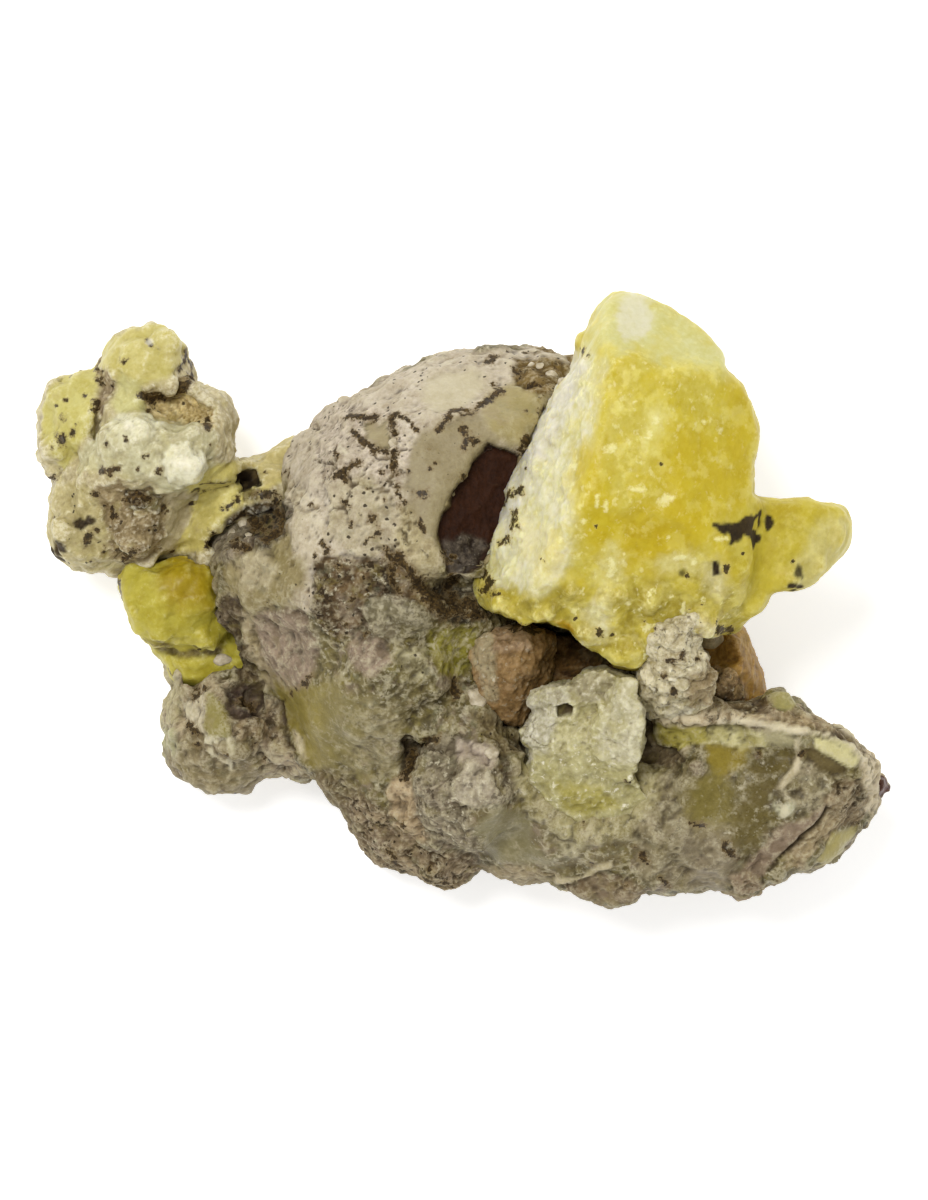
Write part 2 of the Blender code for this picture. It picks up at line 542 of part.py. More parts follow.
# The dark chromite, laid bare where the shell has broken away
CHROMITE_BODY = Lobe(
    rim=(
        (2.4, 15.9), (5.9, 14.3), (6.6, 12.0), (6.2, 8.4), (4.6, 5.4), (1.6, 3.6),
        (-1.6, 3.6), (-2.7, 5.4), (-2.3, 7.8), (-0.9, 10.8), (1.1, 12.8),
    ),
    low=16.0, waist=24.0, high=36.0, fullness=0.45, rough=0.15, seed=180,
)
CHROMITE_FACE = Facet(point=(2.0, 10.0, 29.6), normal=(0.20, 0.06, 0.98))
CHROMITE = Mineral(
    "chromite", (CHROMITE_BODY,), DARK_CHROMITE, Crust(spacing=2.6, height=0.15, seed=41), SMALL_VOXEL, 200,
    facets=(CHROMITE_FACE,),
)

# The order in which they give way: a later crystal has a pocket for each earlier one
CRYSTALS = (
    CREAM_COLUMN, MAIN_BRUCITE, LEFT_BRUCITE, BRUCITE_KNOB, PALE_BLADE, CALCITE_GRAIN, CALCITE_SPLINTER,
    CHROMITE,
)
HOST_ROCK = Mineral(
    "host_rock", ROCK_LOBES, TAN_ROCK,
    Crust(
        spacing=5.0, height=0.3, seed=2, block_spacing=5.4, block_height=2.2, smooth_spot=(-4.0, 10.0, 17.0),
    ),
    ROCK_VOXEL, 2880,
    hollows=ROCK_HOLLOWS, nubs=ROCK_NUBS,
)


def rounded(lobe):
    """The lobe's outline as a closed curve through its points, as close points."""
    points = [Vector(p) for p in lobe.rim]
    if lobe.angular:
        return points
    curve = []
    for index, start in enumerate(points):
        before = points[index - 1]
        end = points[(index + 1) % len(points)]
        after = points[(index + 2) % len(points)]
        for step in range(OUTLINE_STEPS):
            t = step / OUTLINE_STEPS
            bend = (end - before) * t + (2 * before - 5 * start + 4 * end - after) * t**2
            bend += (3 * start - before - 3 * end + after) * t**3
            curve.append(start + bend / 2)
    return curve


def reach(outline, centre, angle):
    """Distance in millimetres from the centre to the outline, in one direction seen from above."""
    along = Vector((math.cos(angle), math.sin(angle)))
    farthest = 0.0
    for first, second in zip(outline, outline[1:] + outline[:1]):
        start = first - centre
        edge = second - first
        spread = along.cross(edge)
        if abs(spread) < 1e-9:
            continue
        distance = start.cross(edge) / spread
        share = start.cross(along) / spread
        if distance > 0 and -1e-6 <= share <= 1 + 1e-6:
            farthest = max(farthest, distance)
    return farthest


def roughened(point, lobe):
    """How far a point in millimetres moves out: lumps and hollows of two sizes."""
    shift = Vector((lobe.seed * 7.3, lobe.seed * -3.1, lobe.seed * 1.7))
    coarse = noise.noise(point / COARSE_SPACING + shift)
    fine = noise.noise(point / FINE_SPACING - shift)
    return lobe.rough * (coarse + FINE_SHARE * fine) * LUMP_GAIN


def add_lobe(bm, lobe, detail=4):
    """Adds one lobe to the mesh: a ball pressed into the lobe's outline and heights, then chipped."""
    outline = rounded(lobe)
    centre = sum(outline, Vector((0, 0))) / len(outline)
    lean = (Vector(lobe.crown) - centre) if lobe.crown else Vector((0, 0))
    ball = bmesh.new()
    bmesh.ops.create_icosphere(ball, subdivisions=detail, radius=1.0)
    for vert in ball.verts:
        unit = vert.co.copy()
        out = math.hypot(unit.x, unit.y) ** lobe.fullness
        angle = math.atan2(unit.y, unit.x)
        rise = math.copysign(abs(unit.z) ** lobe.fullness, unit.z)
        span = lobe.high - lobe.waist if rise > 0 else lobe.waist - lobe.low
        flat = centre + Vector((math.cos(angle), math.sin(angle))) * reach(outline, centre, angle) * out
        if rise > 0:
            flat += lean * (1 - out)
        point = Vector((flat.x, flat.y, lobe.waist + span * rise))
        away = Vector((unit.x, unit.y, unit.z * 0.8)).normalized()
        vert.co = (point + away * roughened(point, lobe)) * MM
    chip(ball, lobe)
    mesh = bpy.data.meshes.new("lobe")
    ball.to_mesh(mesh)
    ball.free()
    bm.from_mesh(mesh)
    bpy.data.meshes.remove(mesh)


def chip(ball, lobe):
    """Knocks flat breaks off a lobe: shallow round its outline, and deeper above and below."""
    turn = math.pi * (3 - math.sqrt(5))
    for number in range(lobe.chips):
        rise = CHIP_TOP - CHIP_RANGE * (number + 0.5) / lobe.chips
        angle = turn * number + lobe.seed
        side = math.sqrt(1 - rise * rise)
        away = Vector((math.cos(angle) * side, math.sin(angle) * side, rise))
        if rise > OUTLINE_BAND:
            depth = lobe.chip_depth
        elif rise > -OUTLINE_BAND:
            depth = lobe.chip_depth * OUTLINE_SHARE
        else:
            depth = lobe.chip_depth * UNDERCUT_SHARE
        reaches = [vert.co.dot(away) for vert in ball.verts]
        edge = max(reaches) - depth * (max(reaches) - min(reaches))
        cut_flat(ball, Facet(tuple(away * edge / MM), tuple(away)))


def drawn_for(cells, seed):
    """Three numbers from 0 to 1 for each row of whole numbers, always the same ones."""
    key = cells.astype(np.int64)
    mixed = (key[:, 0] * 73856093) ^ (key[:, 1] * 19349663) ^ (key[:, 2] * 83492791)
    mixed = (mixed + seed * 2654435761) & WORD
    draws = []
    for turn in range(3):
        mixed = ((mixed ^ (mixed >> 15)) * 1274126177 + turn) & WORD
        mixed = ((mixed ^ (mixed >> 13)) * 2246822519) & WORD
        mixed ^= mixed >> 16
        draws.append((mixed & 0xFFFF) / 0xFFFF)
    return np.stack(draws, axis=-1)


def directions(rows):
    """Each row at a length of one."""
    return rows / (np.linalg.norm(rows, axis=-1, keepdims=True) + 1e-9)


def block_heights(points, spacing, seed):
    """How far each point stands out over blocky crystals packed side by side, each turned its own way."""
    scaled = points / spacing
    base = np.floor(scaled)
    best = np.full(len(points), -BLOCK_GAP)
    for step in product((-1, 0, 1), repeat=3):
        cell = base + np.array(step)
        drawn = drawn_for(cell, seed)
        away = scaled - cell - drawn
        thin = directions(drawn_for(cell, seed + 3) - 0.5)
        wide = directions(np.cross(thin, drawn_for(cell, seed + 4) - 0.5))
        long = np.cross(thin, wide)
        sides = [
            np.abs((away * thin).sum(axis=-1)) * BLOCK_THINNER,
            np.abs((away * wide).sum(axis=-1)),
            np.abs((away * long).sum(axis=-1)) * BLOCK_LONGER,
        ]
        size = BLOCK_SMALLEST + BLOCK_SPREAD * drawn[:, 1]
        best = np.maximum(best, size - np.max(sides, axis=0))
    return best - BLOCK_MIDDLE


def block_share(points, crust):
    """How strong the blocks are at each point: full, but for the smooth spot."""
    if not crust.smooth_spot:
        return np.ones(len(points))
    x, y, radius = crust.smooth_spot
    away = np.hypot(points[:, 0] - x, points[:, 1] - y) / radius
    return np.clip((away - BLOCK_START) / BLOCK_RISE, BLOCK_REST, 1.0)


def encrust(bm, crust):
    """Raises cobbles and blocky crystals all over the mesh, with creases between them."""
    shift = Vector((crust.seed * 3.7, crust.seed * 1.9, crust.seed * -2.3))
    bm.normal_update()
    heights = []
    for vert in bm.verts:
        near, next_near = noise.voronoi(vert.co / MM / crust.spacing + shift)[0][:2]
        lump = min(1.0, (next_near - near) * COBBLE_STEEPNESS) - COBBLE_MIDDLE
        swell = noise.noise(vert.co / MM / (crust.spacing * SWELL_SPACING) - shift)
        heights.append((lump + SWELL_SHARE * swell) * crust.height)
    points = np.array([vert.co for vert in bm.verts]) / MM
    blocks = block_heights(points, crust.block_spacing, crust.seed) * block_share(points, crust)
    for vert, height, block in zip(bm.verts, heights, blocks):
        vert.co += vert.normal * (height + float(block) * crust.block_height) * MM


def add_nub(bm, tree, x, y, radius):
    """Adds a small angular grain where the surface lies under (x, y), half sunk in it."""
    above = Vector((x, y, SKY)) * MM
    hit = tree.ray_cast(above, Vector((0, 0, -1)))[0]
    if hit is None:
        return
    made = bmesh.ops.create_icosphere(bm, subdivisions=2, radius=radius * MM)["verts"]
    for vert in made:
        lump = noise.noise(vert.co / MM / radius * NUB_DETAIL + Vector((x, y, radius)))
        vert.co *= 1.0 + NUB_UNEVEN * lump
        vert.co += hit - Vector((0, 0, NUB_SUNK * radius * MM))


def cut_flat(bm, facet):
    """Takes away what lies beyond the facet's plane and closes the mesh with a flat face."""
    everything = bm.verts[:] + bm.edges[:] + bm.faces[:]
    cut = bmesh.ops.bisect_plane(
        bm,
        geom=everything,
        plane_co=Vector(facet.point) * MM,
        plane_no=Vector(facet.normal).normalized(),
        clear_outer=True,
    )
    rim = [e for e in cut["geom_cut"] if isinstance(e, bmesh.types.BMEdge)]
    bmesh.ops.holes_fill(bm, edges=rim, sides=0)


def new_object(name, bm):
    """Makes a scene object of a bmesh."""
    mesh = bpy.data.meshes.new(name)
    bm.to_mesh(mesh)
    bm.free()
    made = bpy.data.objects.new(name, mesh)
    bpy.context.scene.collection.objects.link(made)
    return made


def baked(obj):
    """The object's mesh with its modifiers applied, as a fresh bmesh. The object goes."""
    graph = bpy.context.evaluated_depsgraph_get()
    mesh = bpy.data.meshes.new_from_object(obj.evaluated_get(graph))
    bm = bmesh.new()
    bm.from_mesh(mesh)
    bpy.data.meshes.remove(mesh)
    bpy.data.objects.remove(obj)
    return bm


def hidden_cutter(name, bm):
    """An object that only cuts others."""
    cutter = new_object(name, bm)
    cutter.hide_render = True
    cutter.display_type = "WIRE"
    return cutter


def subtract(obj, cutter, title):
    """Adds a Boolean that takes the cutter's shape away."""
    cut = obj.modifiers.new(title, "BOOLEAN")
    cut.operation = "DIFFERENCE"
    cut.solver = "EXACT"
    cut.object = cutter


def thin_out(obj, faces):
    """Adds a Decimate that leaves about this many triangles, as flat breaks."""
    graph = bpy.context.evaluated_depsgraph_get()
    mesh = obj.evaluated_get(graph).to_mesh()
    mesh.calc_loop_triangles()
    ratio = faces / len(mesh.loop_triangles)
    obj.evaluated_get(graph).to_mesh_clear()
    thin = obj.modifiers.new("Breaks", "DECIMATE")
    thin.ratio = min(1.0, ratio)
    thin.use_collapse_triangulate = True


def material(name, finish):
    """A plain Principled material."""
    made = bpy.data.materials.new(name)
    made.use_nodes = True
    shader = made.node_tree.nodes["Principled BSDF"]
    shader.inputs["Base Color"].default_value = (*finish.colour, 1.0)
    shader.inputs["Roughness"].default_value = finish.roughness
    shader.inputs["Metallic"].default_value = 0.0
    return made


def grown_copy(obj):
    """A hidden copy of the finished object, larger by the gap on every side."""
    graph = bpy.context.evaluated_depsgraph_get()
    mesh = bpy.data.meshes.new_from_object(obj.evaluated_get(graph))
    bm = bmesh.new()
    bm.from_mesh(mesh)
    bpy.data.meshes.remove(mesh)
    bmesh.ops.recalc_face_normals(bm, faces=bm.faces[:])
    moves = [(vert, vert.normal * POCKET_GAP * MM) for vert in bm.verts]
    for vert, move in moves:
        vert.co += move
    count = len(bm.faces)
    pocket = hidden_cutter(obj.name + "_pocket", bm)
    add_skin(pocket, POCKET_VOXEL)
    thin_out(pocket, int(count * POCKET_SHARE))
    return pocket


def add_skin(obj, voxel):
    """Adds a Remesh that wraps everything in the object in one closed skin."""
    skin = obj.modifiers.new("Skin", "REMESH")
    skin.mode = "VOXEL"
    skin.voxel_size = voxel * MM


def hollowed(name, bm, hollows):
    """The mesh with the hollows' shapes taken away, as a fresh bmesh."""
    solid = new_object(name, bm)
    cutters = []
    for number, hollow in enumerate(hollows):
        bm = bmesh.new()
        add_lobe(bm, hollow, detail=3)
        cutters.append(hidden_cutter(f"{name}_hollow_{number}", bm))
        subtract(solid, cutters[-1], f"Hollow {number}")
    left = baked(solid)
    for cutter in cutters:
        bpy.data.objects.remove(cutter)
    return left


def grow(mineral):
    """One mineral's solid: lobes fused, hollowed out, encrusted, cleaved, studded and thinned out."""
    bm = bmesh.new()
    for lobe in mineral.lobes:
        add_lobe(bm, lobe)
    loose = new_object(mineral.name, bm)
    add_skin(loose, mineral.voxel)
    bm = baked(loose)
    if mineral.hollows:
        bm = hollowed(mineral.name, bm, mineral.hollows)
    encrust(bm, mineral.crust)
    for facet in mineral.facets:
        cut_flat(bm, facet)
    tree = BVHTree.FromBMesh(bm)
    for x, y, radius in mineral.nubs:
        add_nub(bm, tree, x, y, radius)
    made = new_object(mineral.name, bm)
    add_skin(made, mineral.voxel)
    thin_out(made, mineral.faces)
    made.data.materials.append(material(mineral.name, mineral.finish))
    return made


def ground_cutter():
    """A block whose top is the surface that the specimen lies on."""
    bm = bmesh.new()
    bmesh.ops.create_cube(bm, size=1.0)
    for vert in bm.verts:
        vert.co.x *= BASE_SIDE * MM
        vert.co.y *= BASE_SIDE * MM
        vert.co.z = (vert.co.z - 0.5) * BASE_DEPTH * MM
    return hidden_cutter("ground", bm)


def centre_outline(solids):
    """Slides everything sideways until the origin is in the middle of the specimen's outline."""
    graph = bpy.context.evaluated_depsgraph_get()
    corners = [Vector(corner) for obj in solids for corner in obj.evaluated_get(graph).bound_box]
    middle_x = (min(c.x for c in corners) + max(c.x for c in corners)) / 2
    middle_y = (min(c.y for c in corners) + max(c.y for c in corners)) / 2
    for obj in bpy.data.objects:
        obj.location = (-middle_x, -middle_y, 0.0)


def clear_scene():
    """Removes whatever the scene holds."""
    for obj in list(bpy.data.objects):
        bpy.data.objects.remove(obj)


def build():
    """Builds the specimen, crystals first, and then the rock with a pocket for each."""
    clear_scene()
    solids = []
    pockets = []
    for mineral in CRYSTALS:
        crystal = grow(mineral)
        for pocket in pockets:
            subtract(crystal, pocket, pocket.name)
        pockets.append(grown_copy(crystal))
        solids.append(crystal)
    rock = grow(HOST_ROCK)
    subtract(rock, ground_cutter(), "Flat break")
    for pocket in pockets:
        subtract(rock, pocket, pocket.name)
    solids.append(rock)
    centre_outline(solids)


build()
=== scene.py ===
"""The looks of a brucite specimen: yellow crystals on their host rock, seen from straight above.

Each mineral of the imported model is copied, given a fine even skin, and sculpted: lumps, crystal facets,
cracks and grain, each where the specimen has them. The same patches that shape a surface also colour it.
Lengths are in millimetres until a mesh is written. Places seen from above are given in the picture's own
928 by 1200 frame, at ten of its pixels to the millimetre.
"""

import logging
import math
from collections.abc import Iterator
from dataclasses import dataclass, field
from enum import Enum
from itertools import product

import bmesh
import bpy
import numpy as np
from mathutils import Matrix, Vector
from mathutils.geometry import delaunay_2d_cdt


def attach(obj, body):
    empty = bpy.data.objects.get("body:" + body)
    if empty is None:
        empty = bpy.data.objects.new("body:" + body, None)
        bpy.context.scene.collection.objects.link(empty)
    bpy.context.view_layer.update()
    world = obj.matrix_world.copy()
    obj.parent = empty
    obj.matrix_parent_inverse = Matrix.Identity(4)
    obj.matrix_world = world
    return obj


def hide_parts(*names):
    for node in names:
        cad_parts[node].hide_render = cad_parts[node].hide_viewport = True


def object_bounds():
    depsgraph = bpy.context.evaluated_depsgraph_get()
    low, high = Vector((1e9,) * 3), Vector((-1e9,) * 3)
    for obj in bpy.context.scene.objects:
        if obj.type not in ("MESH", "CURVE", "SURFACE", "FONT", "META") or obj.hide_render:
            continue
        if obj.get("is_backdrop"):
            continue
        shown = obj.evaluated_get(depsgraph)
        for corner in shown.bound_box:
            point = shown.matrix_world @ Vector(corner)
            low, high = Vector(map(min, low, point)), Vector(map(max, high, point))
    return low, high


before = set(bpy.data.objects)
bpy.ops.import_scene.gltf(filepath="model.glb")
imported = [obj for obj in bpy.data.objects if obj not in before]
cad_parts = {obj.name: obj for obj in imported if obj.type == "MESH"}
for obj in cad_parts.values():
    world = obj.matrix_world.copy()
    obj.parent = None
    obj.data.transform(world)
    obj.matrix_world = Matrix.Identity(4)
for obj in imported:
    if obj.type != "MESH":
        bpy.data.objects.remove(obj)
CAD_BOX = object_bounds()

MM = 0.001
PICTURE_WIDTH = 928
PICTURE_HEIGHT = 1200
PIXELS_PER_MM = 10.0

# The picture's pixel that shows the origin, which is the middle of the specimen's outline
ORIGIN_PIXEL = (454.33, 603.44)

OVAL_CORNERS = 12

# The camera's height in millimetres over the level at which the picture's scale holds, and that level
CAMERA_RISE = 1000.0
SCALE_LEVEL = 18.0

Triple = tuple[float, float, float]
Socket = bpy.types.NodeSocket

# Picture pixels, x and y in turn
Outline = tuple[float, ...]

# For each spot its x and y in picture pixels and its height in millimetres
Spots = tuple[float, ...]

log = logging.getLogger("specimen")


def on_plan(spots: Outline) -> np.ndarray:
    """Turns picture pixels into millimetres from the origin, seen from above, two to a row."""
    return (np.reshape(spots, (-1, 2)) - ORIGIN_PIXEL) * (1, -1) / PIXELS_PER_MM


PICTURE_MIDDLE = on_plan((PICTURE_WIDTH / 2, PICTURE_HEIGHT / 2))[0]


def seen(places: np.ndarray) -> np.ndarray:
    """Finds where places look to lie at the level that the picture's scale holds for.

    Args:
        places: Places in millimetres, three to a row.

    Returns:
        Places seen from above, in millimetres, two to a row.
    """
    nearer = CAMERA_RISE / (CAMERA_RISE + SCALE_LEVEL - places[:, 2])
    return PICTURE_MIDDLE + (places[:, :2] - PICTURE_MIDDLE) * nearer[:, None]


def placed(x: float, y: float, height: float) -> Vector:
    """Finds the place, at a height in millimetres, that a picture pixel shows."""
    reach = (CAMERA_RISE + SCALE_LEVEL - height) / CAMERA_RISE
    flat = PICTURE_MIDDLE + (on_plan((x, y))[0] - PICTURE_MIDDLE) * reach
    return Vector((flat[0], flat[1], height))


def linear(colour: int) -> Triple:
    """Turns a colour, written as 0xRRGGBB, into the shader's linear values."""
    shares = [channel / 255 for channel in colour.to_bytes(3, "big")]
    return tuple(s / 12.92 if s <= 0.04045 else ((s + 0.055) / 1.055) ** 2.4 for s in shares)


def eased(low: float, high: float, value: np.ndarray) -> np.ndarray:
    """Rises smoothly from 0 at low to 1 at high."""
    share = np.clip((value - low) / (high - low), 0.0, 1.0)
    return share * share * (3 - 2 * share)


def finished_mesh(bm: bmesh.types.BMesh, name: str) -> bpy.types.Mesh:
    """Turns a bmesh into a mesh of its own, and frees it."""
    mesh = bpy.data.meshes.new(name)
    bm.to_mesh(mesh)
    bm.free()
    return mesh


def shown_object(name: str, data: bpy.types.ID) -> bpy.types.Object:
    """Puts a mesh, a lamp or a camera into the scene as an object of its own, at the origin."""
    obj = bpy.data.objects.new(name, data)
    bpy.context.scene.collection.objects.link(obj)
    return obj


def oval(x: float, y: float, reach_x: float, reach_y: float, turn: float = 0.0) -> Outline:
    """Outlines an oval.

    Args:
        x, y: Its middle, in picture pixels.
        reach_x, reach_y: Half its width and height, in pixels.
        turn: Its turn in degrees, anticlockwise as seen.

    Returns:
        Its outline.
    """
    angles = np.arange(OVAL_CORNERS) * math.tau / OVAL_CORNERS
    along, across = reach_x * np.cos(angles), reach_y * np.sin(angles)
    swing = math.radians(turn)
    right = x + along * math.cos(swing) - across * math.sin(swing)
    down = y - along * math.sin(swing) - across * math.cos(swing)
    return tuple(np.stack([right, down], axis=-1).ravel())


def band(route: Outline, width: float) -> Outline:
    """Outlines a strip of one width along a route.

    Args:
        route: The points that the strip follows, in picture pixels.
        width: Its width in pixels.

    Returns:
        Its outline: along one side and back along the other.
    """
    spots = np.reshape(route, (-1, 2)).astype(float)
    ends = np.concatenate([spots[:1], spots, spots[-1:]])
    along = ends[2:] - ends[:-2]
    side = np.stack([-along[:, 1], along[:, 0]], axis=-1)
    side *= width / 2 / np.linalg.norm(along, axis=1)[:, None]
    return tuple(np.concatenate([spots + side, (spots - side)[::-1]]).ravel())


# Random fields over points in millimetres

CORNERS = [np.array(corner) for corner in product((0, 1), repeat=3)]
NEIGHBOURS = [np.array(step) for step in product((-1, 0, 1), repeat=3)]
WORD = 0xFFFFFFFF
CELL_FACTORS = (73856093, 19349663, 83492791)
SEED_FACTOR = 2654435761
FIRST_STIR = 1274126177
SECOND_STIR = 2246822519
SWELL_SCALE = 1.6

# In spacings: farther off than any seed, how a block's sides compare, and how deep the gaps go
FAR = 9.0
BLOCK_SIDES = (1.35, 1.0, 0.8)
BLOCK_FLOOR = -0.35


def scattered(cells: np.ndarray, seed: int) -> np.ndarray:
    """Draws three numbers from 0 to 1 for each whole-numbered cell.

    Args:
        cells: Whole numbers, three to a row.
        seed: Which draw this is.

    Returns:
        The draws, three to a row, the same for the same cell and seed.
    """
    key = cells.astype(np.int64)
    mixed = np.bitwise_xor.reduce(key * CELL_FACTORS, axis=1)
    mixed = (mixed + seed * SEED_FACTOR) & WORD
    draws = []
    for turn in range(3):
        mixed = ((mixed ^ (mixed >> 15)) * FIRST_STIR + turn) & WORD
        mixed = ((mixed ^ (mixed >> 13)) * SECOND_STIR) & WORD
        mixed ^= mixed >> 16
        draws.append((mixed & 0xFFFF) / 0xFFFF)
    return np.stack(draws, axis=-1)


def waves(points: np.ndarray, spacing: float, seed: int) -> np.ndarray:
    """Smooth random swells.

    Args:
        points: Places in millimetres, three to a row.
        spacing: The distance from swell to swell, in millimetres.
        seed: Which field this is.

    Returns:
        One number a point, from about -1 to 1.
    """
    scaled = points / spacing + seed * 0.371
    base = np.floor(scaled)
    part = scaled - base
    ease = part * part * (3 - 2 * part)
    total = np.zeros(len(points))
    for corner in CORNERS:
        pull = scattered(base + corner, seed) * 2 - 1
        share = np.prod(np.where(corner, ease, 1 - ease), axis=-1)
        total += (pull * (part - corner)).sum(axis=-1) * share
    return total * SWELL_SCALE


def seeds_round(points: np.ndarray, spacing: float, seed: int) -> Iterator[tuple[np.ndarray, ...]]:
    """Visits the cells in and round each point's own, each with a seed somewhere in it.

    Args:
        points: Places in millimetres, three to a row.
        spacing: The cells' spacing in millimetres.
        seed: Which scatter this is.

    Yields:
        The cells, how far the points lie from their seeds, in spacings, and the cells' own draws.
    """
    scaled = points / spacing
    base = np.floor(scaled)
    for step in NEIGHBOURS:
        cell = base + step
        drawn = scattered(cell, seed)
        yield cell, scaled - cell - drawn, drawn


@dataclass
class Cells:
    """How points lie among scattered seeds: distances in spacings, and their seeds' draws."""

    near: np.ndarray
    border: np.ndarray
    draws: np.ndarray

    @classmethod
    def of(cls, points: np.ndarray, spacing: float, seed: int) -> "Cells":
        """Finds each point's nearest seed.

        Args:
            points: Places in millimetres, three to a row.
            spacing: The seeds' spacing in millimetres.
            seed: Which scatter this is.

        Returns:
            The distances, and the seed's three random numbers.
        """
        near = np.full(len(points), FAR)
        second = near.copy()
        draws = np.zeros_like(points)
        for _, away, drawn in seeds_round(points, spacing, seed):
            gap = np.sqrt((away * away).sum(axis=-1))
            closer = gap < near
            second = np.where(closer, near, np.minimum(second, gap))
            near = np.where(closer, gap, near)
            draws[closer] = drawn[closer]
        return cls(near, second - near, draws)


def axes_of(cells: np.ndarray, seed: int) -> tuple[np.ndarray, np.ndarray, np.ndarray]:
    """Gives each cell three directions of its own, square to one another."""
    first = scattered(cells, seed) - 0.5
    other = scattered(cells, seed + 1) - 0.5
    first /= np.linalg.norm(first, axis=-1, keepdims=True) + 1e-9
    second = np.cross(first, other)
    second /= np.linalg.norm(second, axis=-1, keepdims=True) + 1e-9
    return first, second, np.cross(first, second)


def blocks(points: np.ndarray, spacing: float, seed: int) -> tuple[np.ndarray, np.ndarray]:
    """Packs small crystals side by side, each a block with flat faces turned its own way.

    Args:
        points: Places in millimetres, three to a row.
        spacing: The crystals' spacing in millimetres.
        seed: Which packing this is.

    Returns:
        How far each point stands out, from about -0.3 to 0.7, and a tone from -1 to 1: random for each
        crystal, plus painted shading by which of its faces a point lies on.
    """
    best = np.full(len(points), -FAR)
    tone = np.zeros(len(points))
    for cell, away, drawn in seeds_round(points, spacing, seed):
        axes = zip(axes_of(cell, seed + 3), BLOCK_SIDES)
        reach = np.stack([np.abs((away * axis).sum(axis=-1)) * side for axis, side in axes], axis=-1)
        out = 0.45 + 0.45 * drawn[:, 1] - reach.max(axis=-1)
        higher = out > best
        best = np.where(higher, out, best)
        # Painted shading: each face of a block gets its own lighter or darker tone
        face = reach.argmax(axis=-1) - 1
        tone = np.where(higher, 1.4 * (drawn[:, 2] - 0.5) + 0.3 * face, tone)
    return np.maximum(best, BLOCK_FLOOR), tone


def scallops(points: np.ndarray, spacing: float, seed: int) -> tuple[np.ndarray, np.ndarray]:
    """Breaks a surface into shallow shells that meet in sharp edges, as chipped stone does.

    Args:
        points: Places in millimetres, three to a row.
        spacing: The chips' spacing in millimetres.
        seed: Which break this is.

    Returns:
        How far each point stands out, from about 0 to 0.8, and a tone from -1 to 1.
    """
    best = np.full(len(points), FAR)
    tone = np.zeros(len(points))
    for _, away, drawn in seeds_round(points, spacing, seed):
        out = (away * away).sum(axis=-1) * 1.3 + 0.3 * drawn[:, 1]
        lower = out < best
        best = np.where(lower, out, best)
        tone = np.where(lower, 2 * drawn[:, 2] - 1, tone)
    return best, tone


@dataclass(frozen=True)
class Relief:
    """How a kind of surface is shaped. Each pair is a spacing and a height, both in millimetres."""

    lumps: tuple[float, float] = (3.4, 0.18)
    ridges: tuple[float, float] = (0.0, 0.0)
    cobbles: tuple[float, float] = (0.0, 0.0)
    crystals: tuple[float, float] = (0.0, 0.0)
    chips: tuple[float, float] = (0.0, 0.0)
    cracks: tuple[float, float] = (0.0, 0.0)
    pits: tuple[float, float] = (0.0, 0.0)
    grain: tuple[float, float] = (0.7, 0.05)
    crack_width: float = 0.07
    contrast: float = 1.0
    seed: int = 1

    def heights(self, points: np.ndarray) -> tuple[np.ndarray, np.ndarray]:
        """Works out the surface.

        Args:
            points: Places in millimetres, three to a row.

        Returns:
            Heights in millimetres, and a tone from 0, dark, to 1, light: random tone for each grain, with
            painted light where the surface stands out and painted shade in cracks and pits.
        """
        height = np.zeros(len(points))
        tone = np.zeros(len(points))
        # Each layer's tone mixes random tone with painted light on raised parts and painted shade in sunk
        # ones
        height += waves(points, self.lumps[0], self.seed) * self.lumps[1]
        bent = points + 0.3 * np.stack([waves(points, 1.5, self.seed + k) for k in (5, 6, 7)], axis=-1)
        if self.ridges[1]:
            crest = 1 - 2 * np.abs(waves(bent, self.ridges[0], self.seed + 71))
            finer = 1 - 2 * np.abs(waves(bent, self.ridges[0] * 0.45, self.seed + 72))
            height += (crest + 0.45 * finer - 0.7) * self.ridges[1]
            tone += 0.2 * (crest - 0.5) + 0.14 * (finer - 0.5)
        if self.cobbles[1]:
            cells = Cells.of(bent, self.cobbles[0], self.seed + 11)
            dome = np.clip(1 - (cells.near / 0.75) ** 2, -0.3, 1.0)
            height += (dome - 0.4) * self.cobbles[1] * (0.4 + 1.2 * cells.draws[:, 0])
            tone += 0.3 * (cells.draws[:, 1] - 0.5) + 0.1 * dome
        if self.crystals[1]:
            out, shade = blocks(bent, self.crystals[0], self.seed + 21)
            height += (out - 0.2) * self.crystals[1]
            tone += 0.26 * shade + 0.2 * (out - 0.2)
        if self.chips[1]:
            out, shade = scallops(bent, self.chips[0], self.seed + 61)
            height += (out - 0.4) * self.chips[1]
            tone += 0.14 * shade + 0.1 * (out - 0.4)
        if self.cracks[1]:
            cells = Cells.of(bent, self.cracks[0], self.seed + 31)
            alive = eased(-0.1, 0.2, waves(points, self.cracks[0] * 1.7, self.seed + 32))
            line = (1 - eased(0.0, self.crack_width, cells.border)) * alive
            height -= line * self.cracks[1]
            tone -= 0.6 * line
            tone += 0.2 * (cells.draws[:, 0] - 0.5)
        if self.pits[1]:
            cells = Cells.of(points, self.pits[0], self.seed + 41)
            pit = (1 - eased(0.1, 0.3, cells.near)) * (cells.draws[:, 0] > 0.6)
            height -= pit * self.pits[1]
            tone -= 0.5 * pit
        fine = waves(points, self.grain[0], self.seed + 51)
        fine += 0.5 * waves(points, self.grain[0] * 0.47, self.seed + 52)
        height += fine * self.grain[1]
        tone += 0.12 * fine
        return height, 0.5 + tone * self.contrast


@dataclass(frozen=True)
class Hue:
    """The colours of one kind of surface, and how it takes light."""

    light: int
    dark: int
    gloss: float = 0.6
    specks: float = 0.0
    veins: float = 0.0
    gaps: float = 0.0
    flecks: float = 0.0
    mixed: float = 0.4
    # How strongly the pale edges show, partly from rubbing and partly as painted highlight
    wear_and_highlight: float = 1.0


QUALITIES = ("gloss", "specks", "veins", "gaps", "flecks", "mixed", "wear_and_highlight")


